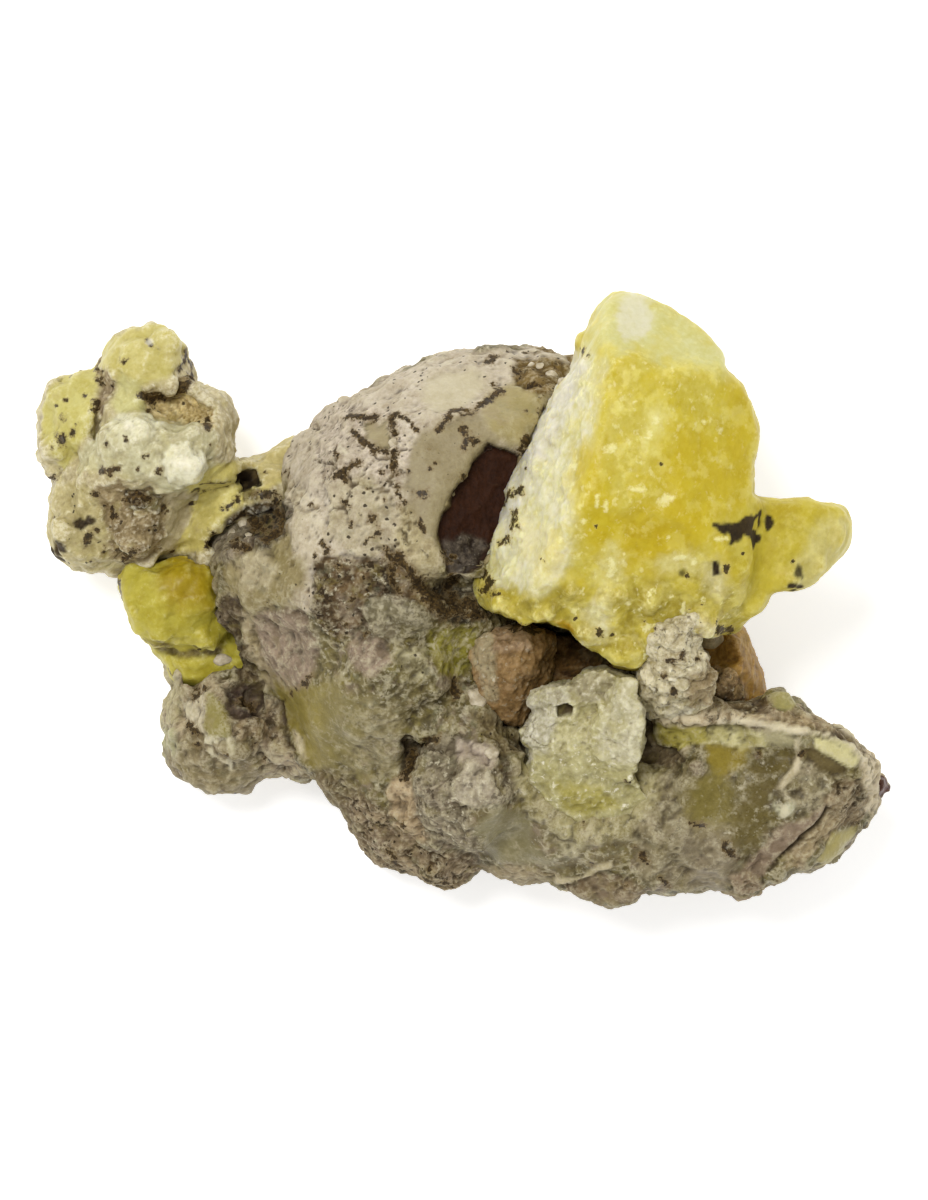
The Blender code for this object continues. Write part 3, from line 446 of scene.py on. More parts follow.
class Rim(Enum):
    """How a patch ends: how broadly it fades and how far its outline wanders, both in millimetres."""

    CLEAN = (0.25, 0.18)
    CRISP = (0.4, 0.35)
    RAGGED = (0.3, 0.65)
    FIRM = (0.5, 0.65)
    PLAIN = (0.75, 0.7)
    SOFT = (1.1, 0.9)
    FADED = (1.55, 1.1)
    HAZY = (2.3, 1.3)
    FAINT = (3.5, 1.6)


@dataclass(frozen=True)
class Patch:
    """A part of a surface that has its own colour or shape, outlined as seen from above."""

    outline: Outline
    hue: Hue | None = None
    relief: Relief | None = None
    rim: Rim = Rim.PLAIN
    step: float = 0.0
    strength: float = 1.0
    up: float = -2.0

    def cover(self, points: np.ndarray, plan: np.ndarray, facing: np.ndarray) -> np.ndarray:
        """Works out how much the patch covers each point.

        Args:
            points: Places in millimetres, three to a row.
            plan: Where they look to lie, two to a row.
            facing: How far each point's surface faces up, from -1 to 1.

        Returns:
            The cover, from 0 to 1.
        """
        corners = on_plan(self.outline)
        fade, wander = self.rim.value
        margin = fade + wander * 1.5
        low, high = corners.min(axis=0) - margin, corners.max(axis=0) + margin
        near = np.all((plan > low) & (plan < high), axis=1)
        near &= facing > self.up
        cover = np.zeros(len(points))
        if not near.any():
            return cover
        spots = points[near]
        ragged = waves(spots, 1.8, 71) * 0.6 + waves(spots, 0.7, 72) * 0.4
        depth = self.inside(plan[near], corners) + ragged * wander
        cover[near] = eased(-fade / 2, fade / 2, depth) * self.strength
        return cover

    @staticmethod
    def inside(spots: np.ndarray, corners: np.ndarray) -> np.ndarray:
        """Measures how deep inside an outline points lie.

        Args:
            spots: Places seen from above, in millimetres, two to a row.
            corners: The outline's corners, in the same way.

        Returns:
            The distance to the outline, below zero outside it.
        """
        nearest = np.full(len(spots), 1e9)
        within = np.zeros(len(spots), bool)
        for start, end in zip(corners, np.roll(corners, -1, axis=0)):
            along = end - start
            reach = spots - start
            share = np.clip(reach @ along / max(along @ along, 1e-12), 0.0, 1.0)
            gap = reach - share[:, None] * along
            nearest = np.minimum(nearest, np.sqrt((gap * gap).sum(axis=-1)))
            crosses = (start[1] > spots[:, 1]) != (end[1] > spots[:, 1])
            rise = along[1] if along[1] else 1e-9
            crosses &= spots[:, 0] < start[0] + (spots[:, 1] - start[1]) * along[0] / rise
            within ^= crosses
        return np.where(within, nearest, -nearest)


class MarkKind(Enum):
    """What small marks are, under the name of the attribute that carries them."""

    STAIN = "stain"
    PALE_AND_GLINT = "pale_and_glint"


@dataclass(frozen=True)
class Stroke:
    """A small mark: its route and its half width, in picture pixels. One point makes a dot."""

    route: Outline
    size: float


# How far, in millimetres, the patches wander on steep sides, so that they don't run down them in stripes
STEEP_WANDER = 2.2

# How far a mark reaches, in its own half widths, and the least cover that counts
MARK_REACH = 3
LEAST_COVER = 0.002


class Skin:
    """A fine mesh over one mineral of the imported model, held as arrays while it is sculpted."""

    def __init__(self, obj: bpy.types.Object) -> None:
        """Reads the object's mesh.

        Args:
            obj: The object that holds the mesh.
        """
        self.obj = obj
        mesh = obj.data
        self.points = np.empty(len(mesh.vertices) * 3)
        mesh.vertices.foreach_get("co", self.points)
        self.points = self.points.reshape(-1, 3) / MM
        self.edges = np.empty(len(mesh.edges) * 2, np.int64)
        mesh.edges.foreach_get("vertices", self.edges)
        self.edges = self.edges.reshape(-1, 2)
        self.degree = np.bincount(self.edges.ravel(), minlength=len(self.points)).clip(1)
        self.rest = self.points.copy()
        self.tone = np.full(len(self.points), 0.5)
        self.light = np.zeros((len(self.points), 3))
        self.dark = np.zeros((len(self.points), 3))
        self.qualities = {name: np.zeros(len(self.points)) for name in QUALITIES}
        self.marks = {kind: np.zeros(len(self.points)) for kind in MarkKind}
        self.read_normals()
        steep = 1 - eased(0.0, 0.5, self.averaged(self.normals[:, 2], 6))
        wander = np.stack([waves(self.rest, 3.0, 81), waves(self.rest, 3.0, 82)], axis=-1)
        self.plan = seen(self.rest) + wander * (STEEP_WANDER * steep)[:, None]

    def read_normals(self) -> None:
        """Takes the smooth normals from the mesh."""
        normals = np.empty(len(self.points) * 3, np.float32)
        self.obj.data.vertex_normals.foreach_get("vector", normals)
        self.normals = normals.reshape(-1, 3).astype(float)

    def write_points(self) -> None:
        """Puts the points back into the mesh, none below the surface that the specimen lies on."""
        self.points[:, 2] = np.maximum(self.points[:, 2], 0.0)
        self.obj.data.vertices.foreach_set("co", (self.points * MM).ravel())
        self.obj.data.update()
        self.read_normals()

    def averaged(self, values: np.ndarray, times: int = 1) -> np.ndarray:
        """Evens values out over the mesh.

        Args:
            values: One number a point, or one row a point.
            times: How often.

        Returns:
            The evened values.
        """
        start, end = self.edges[:, 0], self.edges[:, 1]
        rows = values if values.ndim == 2 else values[:, None]
        for _ in range(times):
            columns = []
            for column in rows.T:
                total = np.bincount(start, column[end], len(column))
                total += np.bincount(end, column[start], len(column))
                columns.append(0.5 * column + 0.5 * total / self.degree)
            rows = np.stack(columns, axis=-1)
        return rows if values.ndim == 2 else rows[:, 0]

    def swell(self, distance: float) -> None:
        """Moves the whole surface outwards by a distance in millimetres."""
        self.points += self.normals * distance
        self.write_points()

    def sculpt(self, relief: Relief, patches: tuple[Patch, ...], keep_under: float = 1.0) -> None:
        """Shapes the surface and notes its tone.

        Args:
            relief: How the surface is shaped where no patch says otherwise.
            patches: The parts that have a shape of their own; a later one lies over an earlier one.
            keep_under: The height in millimetres below which the shape fades to the flat break.
        """
        height, self.tone = relief.heights(self.rest)
        step = np.zeros(len(self.rest))
        facing = self.averaged(self.normals[:, 2], 2)
        for patch in patches:
            cover = patch.cover(self.rest, self.plan, facing)
            where = cover > LEAST_COVER
            if patch.relief and where.any():
                own, tone = patch.relief.heights(self.rest[where])
                share = cover[where]
                height[where] += (own - height[where]) * share
                self.tone[where] += (tone - self.tone[where]) * share
            step += cover * patch.step
        move = (height + step) * eased(0.0, keep_under, self.rest[:, 2])
        self.points += self.normals * move[:, None]
        self.write_points()

    def paint(self, hue: Hue, patches: tuple[Patch, ...]) -> None:
        """Colours the surface.

        Args:
            hue: The colours where no patch says otherwise.
            patches: The parts with colours of their own; a later one lies over an earlier one.
        """
        self.light[:] = linear(hue.light)
        self.dark[:] = linear(hue.dark)
        for name, values in self.qualities.items():
            values[:] = getattr(hue, name)
        facing = self.averaged(self.normals[:, 2], 2)
        for patch in patches:
            if not patch.hue:
                continue
            cover = patch.cover(self.rest, self.plan, facing)
            self.light += (np.array(linear(patch.hue.light)) - self.light) * cover[:, None]
            self.dark += (np.array(linear(patch.hue.dark)) - self.dark) * cover[:, None]
            for name, values in self.qualities.items():
                values += (getattr(patch.hue, name) - values) * cover

    def marked(self, strokes: tuple[Stroke, ...]) -> np.ndarray:
        """Works out how near each point lies to small marks seen from above.

        Args:
            strokes: The marks.

        Returns:
            One number a point: 1 in the middle of a mark, 0.67 at its edge and 0 well outside it.
        """
        cover = np.zeros(len(self.rest))
        upward = self.normals[:, 2] > 0.05
        for stroke in strokes:
            route = on_plan(stroke.route)
            reach = MARK_REACH * stroke.size / PIXELS_PER_MM
            near = np.all(self.plan > route.min(axis=0) - reach, axis=1) & upward
            near &= np.all(self.plan < route.max(axis=0) + reach, axis=1)
            if not near.any():
                continue
            spots = self.plan[near]
            gap = np.sqrt(((spots - route[0]) ** 2).sum(axis=-1))
            for start, end in zip(route, route[1:]):
                along = end - start
                share = np.clip((spots - start) @ along / (along @ along), 0.0, 1.0)
                off = spots - start - share[:, None] * along
                gap = np.minimum(gap, np.sqrt((off * off).sum(axis=-1)))
            rest = self.rest[near]
            ragged = 1 + 0.45 * waves(rest, 0.9, 88) + 0.3 * waves(rest, 0.35, 89)
            cover[near] = np.maximum(cover[near], np.clip(1 - gap * ragged / reach, 0, 1))
        return cover

    def bends(self, times: int) -> np.ndarray:
        """Measures how the surface bends.

        Args:
            times: How far round each point to look, in rings of the mesh.

        Returns:
            One number a point in millimetres: above zero in a hollow, below zero on an edge.
        """
        even = self.averaged(self.points, times)
        return ((even - self.points) * self.normals).sum(axis=-1)

    def write_attributes(self) -> None:
        """Gives the mesh what its material reads: colours, tone, roughness, specks, hollows and edges."""
        tight, wide = self.bends(2), self.bends(9)
        hollow = eased(0.02, 0.16, wide) * 0.6 + eased(0.008, 0.05, tight) * 0.6
        crest = eased(0.02, 0.12, -wide) * 0.5 + eased(0.008, 0.04, -tight) * 0.6
        single = {
            "tone": self.tone, **self.qualities,
            **{kind.value: cover for kind, cover in self.marks.items()},
            "hollow": np.clip(hollow, 0, 1), "crest": np.clip(crest, 0, 1),
        }
        mesh = self.obj.data
        for name, values in single.items():
            made = mesh.attributes.new(name, "FLOAT", "POINT")
            made.data.foreach_set("value", values.astype(np.float32))
        for name, rows in {"light": self.light, "dark": self.dark}.items():
            made = mesh.attributes.new(name, "FLOAT_COLOR", "POINT")
            opaque = np.concatenate([rows, np.ones((len(rows), 1))], axis=1)
            made.data.foreach_set("color", opaque.astype(np.float32).ravel())


# How far apart the fields of two noises lie, in metres along each axis, for each step of the seed
SEED_SHIFT = (0.137, 0.071, -0.093)


class Graph:
    """Short ways to build a material out of nodes."""

    def __init__(self, name: str) -> None:
        """Starts a material with a Principled shader.

        Args:
            name: The material's name.
        """
        self.material = bpy.data.materials.new(name)
        self.material.use_nodes = True
        self.tree = self.material.node_tree
        self.shader = self.tree.nodes["Principled BSDF"]
        self.places = self.tree.nodes.new("ShaderNodeTexCoord").outputs["Object"]

    def set(self, **values: float | tuple) -> None:
        """Sets plain values on the shader's own sockets, named with _ for a space."""
        for name, value in values.items():
            self.shader.inputs[name.replace("_", " ")].default_value = value

    def link(self, source: Socket, target: Socket) -> None:
        """Joins two sockets."""
        self.tree.links.new(source, target)

    def feed(self, target: Socket, value: Socket | tuple | float) -> None:
        """Joins a socket to another one, or gives it a plain value."""
        if isinstance(value, Socket):
            self.link(value, target)
        else:
            target.default_value = value

    def attribute(self, name: str, colour: bool = False) -> Socket:
        """Reads one of the mesh's attributes, as a colour or a number."""
        node = self.tree.nodes.new("ShaderNodeAttribute")
        node.attribute_name = name
        return node.outputs["Color" if colour else "Fac"]

    def noise(self, spacing: float, detail: float = 3.0, rough: float = 0.6,
              stretch: Triple = (1, 1, 1), turn: Triple = (0, 0, 0), seed: int = 0) -> Socket:
        """Adds noise.

        Args:
            spacing: The distance from swell to swell, in millimetres.
            detail: How many finer layers it has.
            rough: How strong those are.
            stretch: How much denser it is along each axis.
            turn: Its turn about each axis, in degrees.
            seed: Which field it is.

        Returns:
            A number from 0 to 1.
        """
        node = self.tree.nodes.new("ShaderNodeTexNoise")
        node.inputs["Scale"].default_value = 1 / (spacing * MM)
        node.inputs["Detail"].default_value = detail
        node.inputs["Roughness"].default_value = rough
        place = self.tree.nodes.new("ShaderNodeMapping")
        place.inputs["Scale"].default_value = stretch
        place.inputs["Rotation"].default_value = [math.radians(angle) for angle in turn]
        place.inputs["Location"].default_value = [shift * seed for shift in SEED_SHIFT]
        self.link(self.places, place.inputs["Vector"])
        self.link(place.outputs["Vector"], node.inputs["Vector"])
        return node.outputs["Fac"]

    def cells(self, spacing: float, bend: float = 0.3) -> Socket:
        """Adds the distance to the nearest of scattered seeds.

        Args:
            spacing: The seeds' spacing in millimetres.
            bend: How far noise pushes the places about, in spacings.

        Returns:
            The distance in spacings.
        """
        push = self.tree.nodes.new("ShaderNodeTexNoise")
        push.inputs["Scale"].default_value = 2.2 / (spacing * MM)
        push.inputs["Detail"].default_value = 2.0
        self.link(self.places, push.inputs["Vector"])
        moved = self.tree.nodes.new("ShaderNodeVectorMath")
        moved.operation = "MULTIPLY_ADD"
        moved.inputs[1].default_value = (bend * spacing * MM,) * 3
        self.link(push.outputs["Color"], moved.inputs[0])
        self.link(self.places, moved.inputs[2])
        node = self.tree.nodes.new("ShaderNodeTexVoronoi")
        node.inputs["Scale"].default_value = 1 / (spacing * MM)
        self.link(moved.outputs["Vector"], node.inputs["Vector"])
        return node.outputs["Distance"]

    def math(self, operation: str, first: Socket | float, second: Socket | float = 0.0,
             clamp: bool = False) -> Socket:
        """Adds a sum of two numbers.

        Args:
            operation: What the node does.
            first, second: Sockets or plain numbers.
            clamp: Whether the result is kept from 0 to 1.

        Returns:
            The result's socket.
        """
        node = self.tree.nodes.new("ShaderNodeMath")
        node.operation = operation
        node.use_clamp = clamp
        for socket, value in zip(node.inputs, (first, second)):
            self.feed(socket, value)
        return node.outputs["Value"]

    def times(self, first: Socket | float, second: Socket | float) -> Socket:
        """Multiplies two numbers."""
        return self.math("MULTIPLY", first, second)

    def plus(self, first: Socket | float, second: Socket | float) -> Socket:
        """Adds two numbers."""
        return self.math("ADD", first, second)

    def less(self, first: Socket | float, second: Socket | float) -> Socket:
        """Takes the second number from the first."""
        return self.math("SUBTRACT", first, second)

    def ramp(self, value: Socket, low: float, high: float) -> Socket:
        """Stretches low to high over 0 to 1, smoothly."""
        node = self.tree.nodes.new("ShaderNodeMapRange")
        node.interpolation_type = "SMOOTHSTEP"
        node.inputs["From Min"].default_value = low
        node.inputs["From Max"].default_value = high
        self.link(value, node.inputs["Value"])
        return node.outputs["Result"]

    def mix(self, first: Socket | Triple, second: Socket | Triple, share: Socket | float) -> Socket:
        """Mixes two colours.

        Args:
            first, second: Sockets or plain linear colours.
            share: How much of the second there is, as a socket or a number.

        Returns:
            The mixed colour's socket.
        """
        node = self.tree.nodes.new("ShaderNodeMix")
        node.data_type = "RGBA"
        node.clamp_factor = True
        for name, value in {"A_Color": first, "B_Color": second, "Factor_Float": share}.items():
            socket = next(s for s in node.inputs if s.identifier == name)
            self.feed(socket, (*value, 1.0) if isinstance(value, tuple) else value)
        return next(s for s in node.outputs if s.identifier == "Result_Color")

    def bump(self, *layers: tuple[Socket, float, float]) -> None:
        """Adds relief too fine for the mesh.

        Args:
            layers: For each, its height socket, its height in millimetres and its strength.
        """
        below = None
        for height, tall, strength in layers:
            node = self.tree.nodes.new("ShaderNodeBump")
            node.inputs["Distance"].default_value = tall * MM
            node.inputs["Strength"].default_value = strength
            self.link(height, node.inputs["Height"])
            if below:
                self.link(below, node.inputs["Normal"])
            below = node.outputs["Normal"]
        self.link(below, self.shader.inputs["Normal"])


# How softly a blotch ends, as a part of its noise's range
BLOTCH_EDGE = 0.12


@dataclass(frozen=True)
class Stray:
    """Blotches of another colour: how far apart they are in millimetres, how strong, and how rare."""

    colour: int
    spacing: float = 3.0
    strength: float = 0.5
    rarity: float = 0.54
    seed: int = 21


@dataclass(frozen=True)
class MineralFinish:
    """The material of a sculpted mineral, whose colours and tone lie in its mesh."""

    name: str
    # The colour of pale edges, partly from rubbing and partly painted highlight
    edge: int
    # The colour of the dark gaps, and of the painted shade in hollows
    gap_and_hollow_shade: int
    speck: int = 0x241806
    speck_light: int = 0x584420
    halo: int = 0x7E6A46
    # The colour of pale flecks and marks, partly pale crystals and partly painted glints
    pale_and_glint: int = 0xECE6CE
    vein: int = 0xDAD2B8
    strays: tuple[Stray, ...] = ()
    edge_share: float = 0.5
    # How strongly the painted shade darkens the hollows
    hollow_shade_share: float = 0.7
    mottle: float = 1.1
    fine: float = 0.35
    variety: float = 1.0
    speck_spacing: float = 1.1
    vein_spacing: float = 1.8
    gap_spacing: float = 1.3
    fleck_spacing: float = 0.7
    grain_height: float = 0.05
    glow: float = 0.0
    glow_reach: Triple = (1.0, 0.9, 0.4)
    glow_scale: float = 2.0
    coat: float = 0.0
    shine: float = 0.2
    fibre: Triple = (1, 1, 1)
    fibre_turn: Triple = (0, 0, 0)

    def material(self) -> bpy.types.Material:
        """Builds the material.

        Returns:
            The material, which reads the attributes that Skin writes.
        """
        graph = Graph(self.name)
        broad = graph.noise(self.mottle * 2.8, 3.0, 0.6, seed=1)
        mottle = graph.noise(self.mottle, 4.0, 0.66, self.fibre, self.fibre_turn)
        fine = graph.noise(self.fine, 3.0, 0.65, self.fibre, self.fibre_turn)
        share = graph.attribute("tone")
        for layer, weight in ((broad, 0.9), (mottle, 1.7), (fine, 1.2)):
            swing = graph.times(graph.less(layer, 0.5), weight * self.variety)
            share = graph.plus(share, swing)
        share = graph.math("ADD", share, 0.0, clamp=True)
        colour = graph.mix(graph.attribute("dark", True), graph.attribute("light", True), share)
        for stray in self.strays:
            noise = graph.noise(stray.spacing, 5.0, 0.64, seed=stray.seed)
            blotch = graph.times(graph.ramp(noise, stray.rarity, stray.rarity + BLOTCH_EDGE), stray.strength)
            blotch = graph.times(blotch, graph.attribute("mixed"))
            colour = graph.mix(colour, linear(stray.colour), blotch)

        colour, pits = self.edges_hollows_and_veins(graph, colour, mottle, fine)
        colour = self.stained(graph, colour, fine)
        graph.link(colour, graph.shader.inputs["Base Color"])
        uneven = graph.times(graph.less(fine, 0.5), 0.35)
        rough = graph.math("ADD", graph.attribute("gloss"), uneven, clamp=True)
        graph.link(rough, graph.shader.inputs["Roughness"])
        graph.bump(
            (mottle, self.grain_height * 2.4, 0.7), (fine, self.grain_height, 0.9),
            (graph.less(1.0, pits), self.grain_height * 2.0, 0.6),
        )
        graph.set(
            Subsurface_Weight=self.glow, Subsurface_Radius=self.glow_reach,
            Subsurface_Scale=self.glow_scale * MM, Specular_IOR_Level=self.shine,
            Coat_Weight=self.coat, Coat_Roughness=0.25,
        )
        return graph.material

    def edges_hollows_and_veins(self, graph: Graph, colour: Socket, mottle: Socket, fine: Socket) -> tuple[Socket, Socket]:
        """Adds what goes with the shape: pale edges, partly from rubbing and partly painted highlights where
        edges catch the light; painted shade in hollows; pale veins; pale flecks, partly painted glints; and
        dark gaps.

        Args:
            graph: The material's graph.
            colour: The colour so far.
            mottle, fine: Its two noises.

        Returns:
            The new colour, and the gaps' share from 0 to 1.
        """
        # Pale edges: partly rubbed, partly painted highlights on the crests that catch the light
        lit_and_rubbed_edge = graph.times(graph.attribute("crest"), graph.ramp(fine, 0.35, 0.62))
        lit_and_rubbed_edge = graph.times(lit_and_rubbed_edge, graph.attribute("wear_and_highlight"))
        colour = graph.mix(colour, linear(self.edge), graph.times(lit_and_rubbed_edge, self.edge_share))

        wander = graph.noise(self.vein_spacing, 3.0, 0.55, seed=5)
        off_line = graph.math("ABSOLUTE", graph.less(wander, 0.5))
        line = graph.less(1.0, graph.ramp(off_line, 0.0, 0.07))
        broken = graph.ramp(graph.noise(2.2, 3.0, 0.6, seed=6), 0.42, 0.56)
        vein = graph.times(graph.times(line, broken), graph.attribute("veins"))
        colour = graph.mix(colour, linear(self.vein), graph.times(vein, 0.62))

        # Pale flecks: partly pale crystal grains, partly painted glints
        spark = graph.noise(self.fleck_spacing, 3.0, 0.6, self.fibre, self.fibre_turn, 12)
        spark = graph.times(graph.ramp(spark, 0.58, 0.7), graph.attribute("flecks"))
        colour = graph.mix(colour, linear(self.pale_and_glint), graph.times(spark, 0.85))

        pits = graph.ramp(graph.noise(self.gap_spacing, 5.0, 0.7, seed=9), 0.57, 0.65)
        pits = graph.times(pits, graph.attribute("gaps"))
        # Painted shade: the hollows of the surface are darkened towards the dark colour
        hollow_shade = graph.times(graph.attribute("hollow"), graph.ramp(mottle, 0.3, 0.6))
        hollow_shade = graph.times(hollow_shade, self.hollow_shade_share)
        return graph.mix(colour, linear(self.gap_and_hollow_shade), graph.math("MAXIMUM", hollow_shade, pits)), pits

    def stained(self, graph: Graph, colour: Socket, fine: Socket) -> Socket:
        """Adds specks, stains, and pale marks that are partly pale crystals and partly painted glints.

        Args:
            graph: The material's graph.
            colour: The colour so far.
            fine: Its finer noise.

        Returns:
            The new colour.
        """
        seeds = graph.cells(self.speck_spacing, 0.5)
        reach = graph.times(graph.attribute("specks"), 0.55)
        dotted = graph.ramp(graph.less(reach, seeds), -0.02, 0.05)
        colour = graph.mix(colour, linear(self.speck), graph.times(dotted, 0.9))
        uneven = graph.less(graph.noise(1.0, 5.0, 0.75, seed=3), 0.5)
        finer = graph.less(graph.noise(0.4, 3.0, 0.7, seed=4), 0.5)
        uneven = graph.plus(uneven, graph.times(finer, 0.55))
        mark = graph.attribute("stain")
        stain = graph.plus(mark, graph.times(uneven, 1.9))
        around = graph.times(graph.ramp(stain, 0.3, 0.62), graph.ramp(mark, 0.0, 0.2))
        colour = graph.mix(colour, linear(self.halo), graph.times(around, 0.55))
        blot = graph.times(graph.ramp(stain, 0.6, 0.72), graph.ramp(mark, 0.1, 0.3))
        dusk = graph.mix(linear(self.speck), linear(self.speck_light), graph.ramp(fine, 0.4, 0.7))
        colour = graph.mix(colour, dusk, graph.times(blot, 0.94))
        # Pale marks: pale crystals, and painted glints on the yellow crystal
        mark = graph.attribute("pale_and_glint")
        pale_glint = graph.plus(mark, graph.times(uneven, 1.6))
        pale_glint = graph.times(graph.ramp(pale_glint, 0.45, 1.0), graph.ramp(mark, 0.05, 0.3))
        return graph.mix(colour, linear(self.pale_and_glint), graph.times(pale_glint, 0.65))


# What spans faces over spots keeps only those inside the rim, and takes nearer spots for the same
INSIDE_ONLY = 1
SAME_SPOT = 1e-5


@dataclass(frozen=True)
class Block:
    """A closed lump whose top runs through chosen spots."""

    rim: Spots
    inner: Spots = ()
    foot: float = 15.0
    flare: float = 0.4

    def add(self, bm: bmesh.types.BMesh) -> None:
        """Spans faces over the spots and lets the rim down to a flat foot.

        Args:
            bm: The mesh that the lump is added to.
        """
        spots = [placed(*spot) for spot in np.reshape(self.rim + self.inner, (-1, 3))]
        count = len(self.rim) // 3
        laid = delaunay_2d_cdt([spot.xy for spot in spots], [], [list(range(count))], INSIDE_ONLY, SAME_SPOT)
        middle = sum((spot.xy for spot in spots[:count]), Vector((0, 0))) / count
        tops = [bm.verts.new(spots[own[0]] * MM) for own in laid[3]]
        place = {own[0]: top for own, top in zip(laid[3], tops)}
        feet = []
        for spot in spots[:count]:
            outward = (spot.xy - middle).normalized() * self.flare
            feet.append(bm.verts.new(Vector((*(spot.xy + outward), self.foot)) * MM))
        faces = [bm.faces.new([tops[corner] for corner in corners]) for corners in laid[2]]
        for index in range(count):
            after = (index + 1) % count
            faces.append(bm.faces.new((place[index], place[after], feet[after], feet[index])))
        faces.append(bm.faces.new(feet))
        bmesh.ops.recalc_face_normals(bm, faces=faces)


# The specimen's whole outline in the picture, from the left cluster over the top and back along the bottom
SPECIMEN_OUTLINE = (
    40,455, 41,410, 45,394, 52,384, 60,379, 72,376, 82,371, 95,368, 105,356, 107,346, 112,337, 130,328,
    142,328, 149,325, 158,324, 167,326, 173,331, 185,347, 188,360, 199,377, 207,387, 223,397, 230,404,
    233,430, 232,446, 233,458, 238,462, 247,459, 257,459, 284,445, 292,438, 298,436, 304,438, 315,426,
    317,418, 322,415, 325,408, 330,402, 337,399, 352,402, 374,385, 384,379, 430,359, 435,355, 442,353,
    462,352, 482,349, 497,343, 505,342, 513,343, 527,348, 536,348, 558,359, 566,359, 572,357, 578,353,
    575,345, 575,340, 579,333, 589,330, 590,320, 600,297, 605,294, 613,292, 626,292, 649,297, 676,312,
    703,330, 722,351, 725,358, 724,366, 727,371, 741,385, 750,401, 753,409, 758,432, 758,444, 752,467,
    751,496, 780,500, 792,499, 804,500, 838,506, 844,509, 852,522, 852,530, 848,545, 836,561, 812,583,
    803,588, 796,590, 781,590, 773,592, 768,597, 762,609, 743,623, 741,628, 757,661, 765,686, 769,690,
    776,692, 782,690, 788,690, 793,694, 800,708, 806,713, 858,741, 874,760, 881,775, 886,777, 889,784,
    887,792, 882,797, 879,797, 876,811, 867,827, 838,855, 830,861, 820,866, 804,870, 790,870, 783,879,
    776,881, 770,881, 764,884, 758,890, 750,895, 743,896, 730,890, 710,888, 680,890, 674,893, 664,893,
    656,890, 648,889, 642,893, 637,899, 630,903, 621,906, 602,905, 598,900, 582,897, 562,884, 545,880,
    527,883, 488,873, 480,869, 466,883, 450,888, 433,887, 426,884, 412,874, 375,864, 350,827, 340,804,
    316,788, 280,770, 273,771, 261,778, 256,782, 252,789, 244,791, 198,792, 191,789, 179,771, 166,760,
    163,753, 162,744, 163,735, 166,730, 163,713, 165,704, 169,695, 168,680, 165,672, 167,665, 161,658,
    153,653, 151,646, 144,641, 130,615, 125,601, 119,592, 117,578, 103,570, 76,569, 72,565, 56,560, 51,552,
    49,525, 50,502, 53,486, 49,478, 48,470,
)


@dataclass(frozen=True)
class Trim:
    """Cuts away what stands out beyond an outline. Each ring is a height in mm and an inset in pixels."""

    outline: Outline = SPECIMEN_OUTLINE
    rings: tuple[tuple[float, float], ...] = ((-2.0, 2.0), (48.0, 2.0))
    evened: int = 0

    def ring(self, inset: float) -> np.ndarray:
        """Evens the outline and moves its corners inwards.

        Args:
            inset: How far, in picture pixels.

        Returns:
            The corners in picture pixels, two to a row.
        """
        spots = np.reshape(self.outline, (-1, 2)).astype(float)
        for _ in range(self.evened):
            spots = (np.roll(spots, 1, axis=0) + spots + np.roll(spots, -1, axis=0)) / 3
        along = np.roll(spots, -1, axis=0) - np.roll(spots, 1, axis=0)
        along /= np.linalg.norm(along, axis=1)[:, None]
        return spots + np.stack([-along[:, 1], along[:, 0]], axis=-1) * inset

    def cut(self, mesh: bpy.types.Mesh) -> bpy.types.Mesh:
        """Keeps the part of a closed mesh that the outline holds as the camera sees it.

        Args:
            mesh: The mesh, which is used up.

        Returns:
            The mesh that is left.
        """
        bm = bmesh.new()
        rings = []
        for z, inset in self.rings:
            rings.append([bm.verts.new(placed(*spot, z) * MM) for spot in self.ring(inset)])
        bm.faces.new(rings[0])
        bm.faces.new(rings[-1][::-1])
        for low, high in zip(rings, rings[1:]):
            for index in range(len(low)):
                after = (index + 1) % len(low)
                bm.faces.new((low[index], high[index], high[after], low[after]))
        bmesh.ops.recalc_face_normals(bm, faces=bm.faces[:])
        meshes = (mesh, finished_mesh(bm, "outline"))
        whole, cutter = (shown_object(own.name, own) for own in meshes)
        kept = whole.modifiers.new("Trim", "BOOLEAN")
        kept.operation = "INTERSECT"
        kept.solver = "EXACT"
        kept.object = cutter
        graph = bpy.context.evaluated_depsgraph_get()
        left = bpy.data.meshes.new_from_object(whole.evaluated_get(graph))
        for obj, own in zip((whole, cutter), meshes):
            bpy.data.objects.remove(obj)
            bpy.data.meshes.remove(own)
        return left


DRAWN_IN = Trim(rings=((-2.0, 15.0), (4.0, 8.0), (8.0, -7.0), (48.0, -7.0)), evened=8)


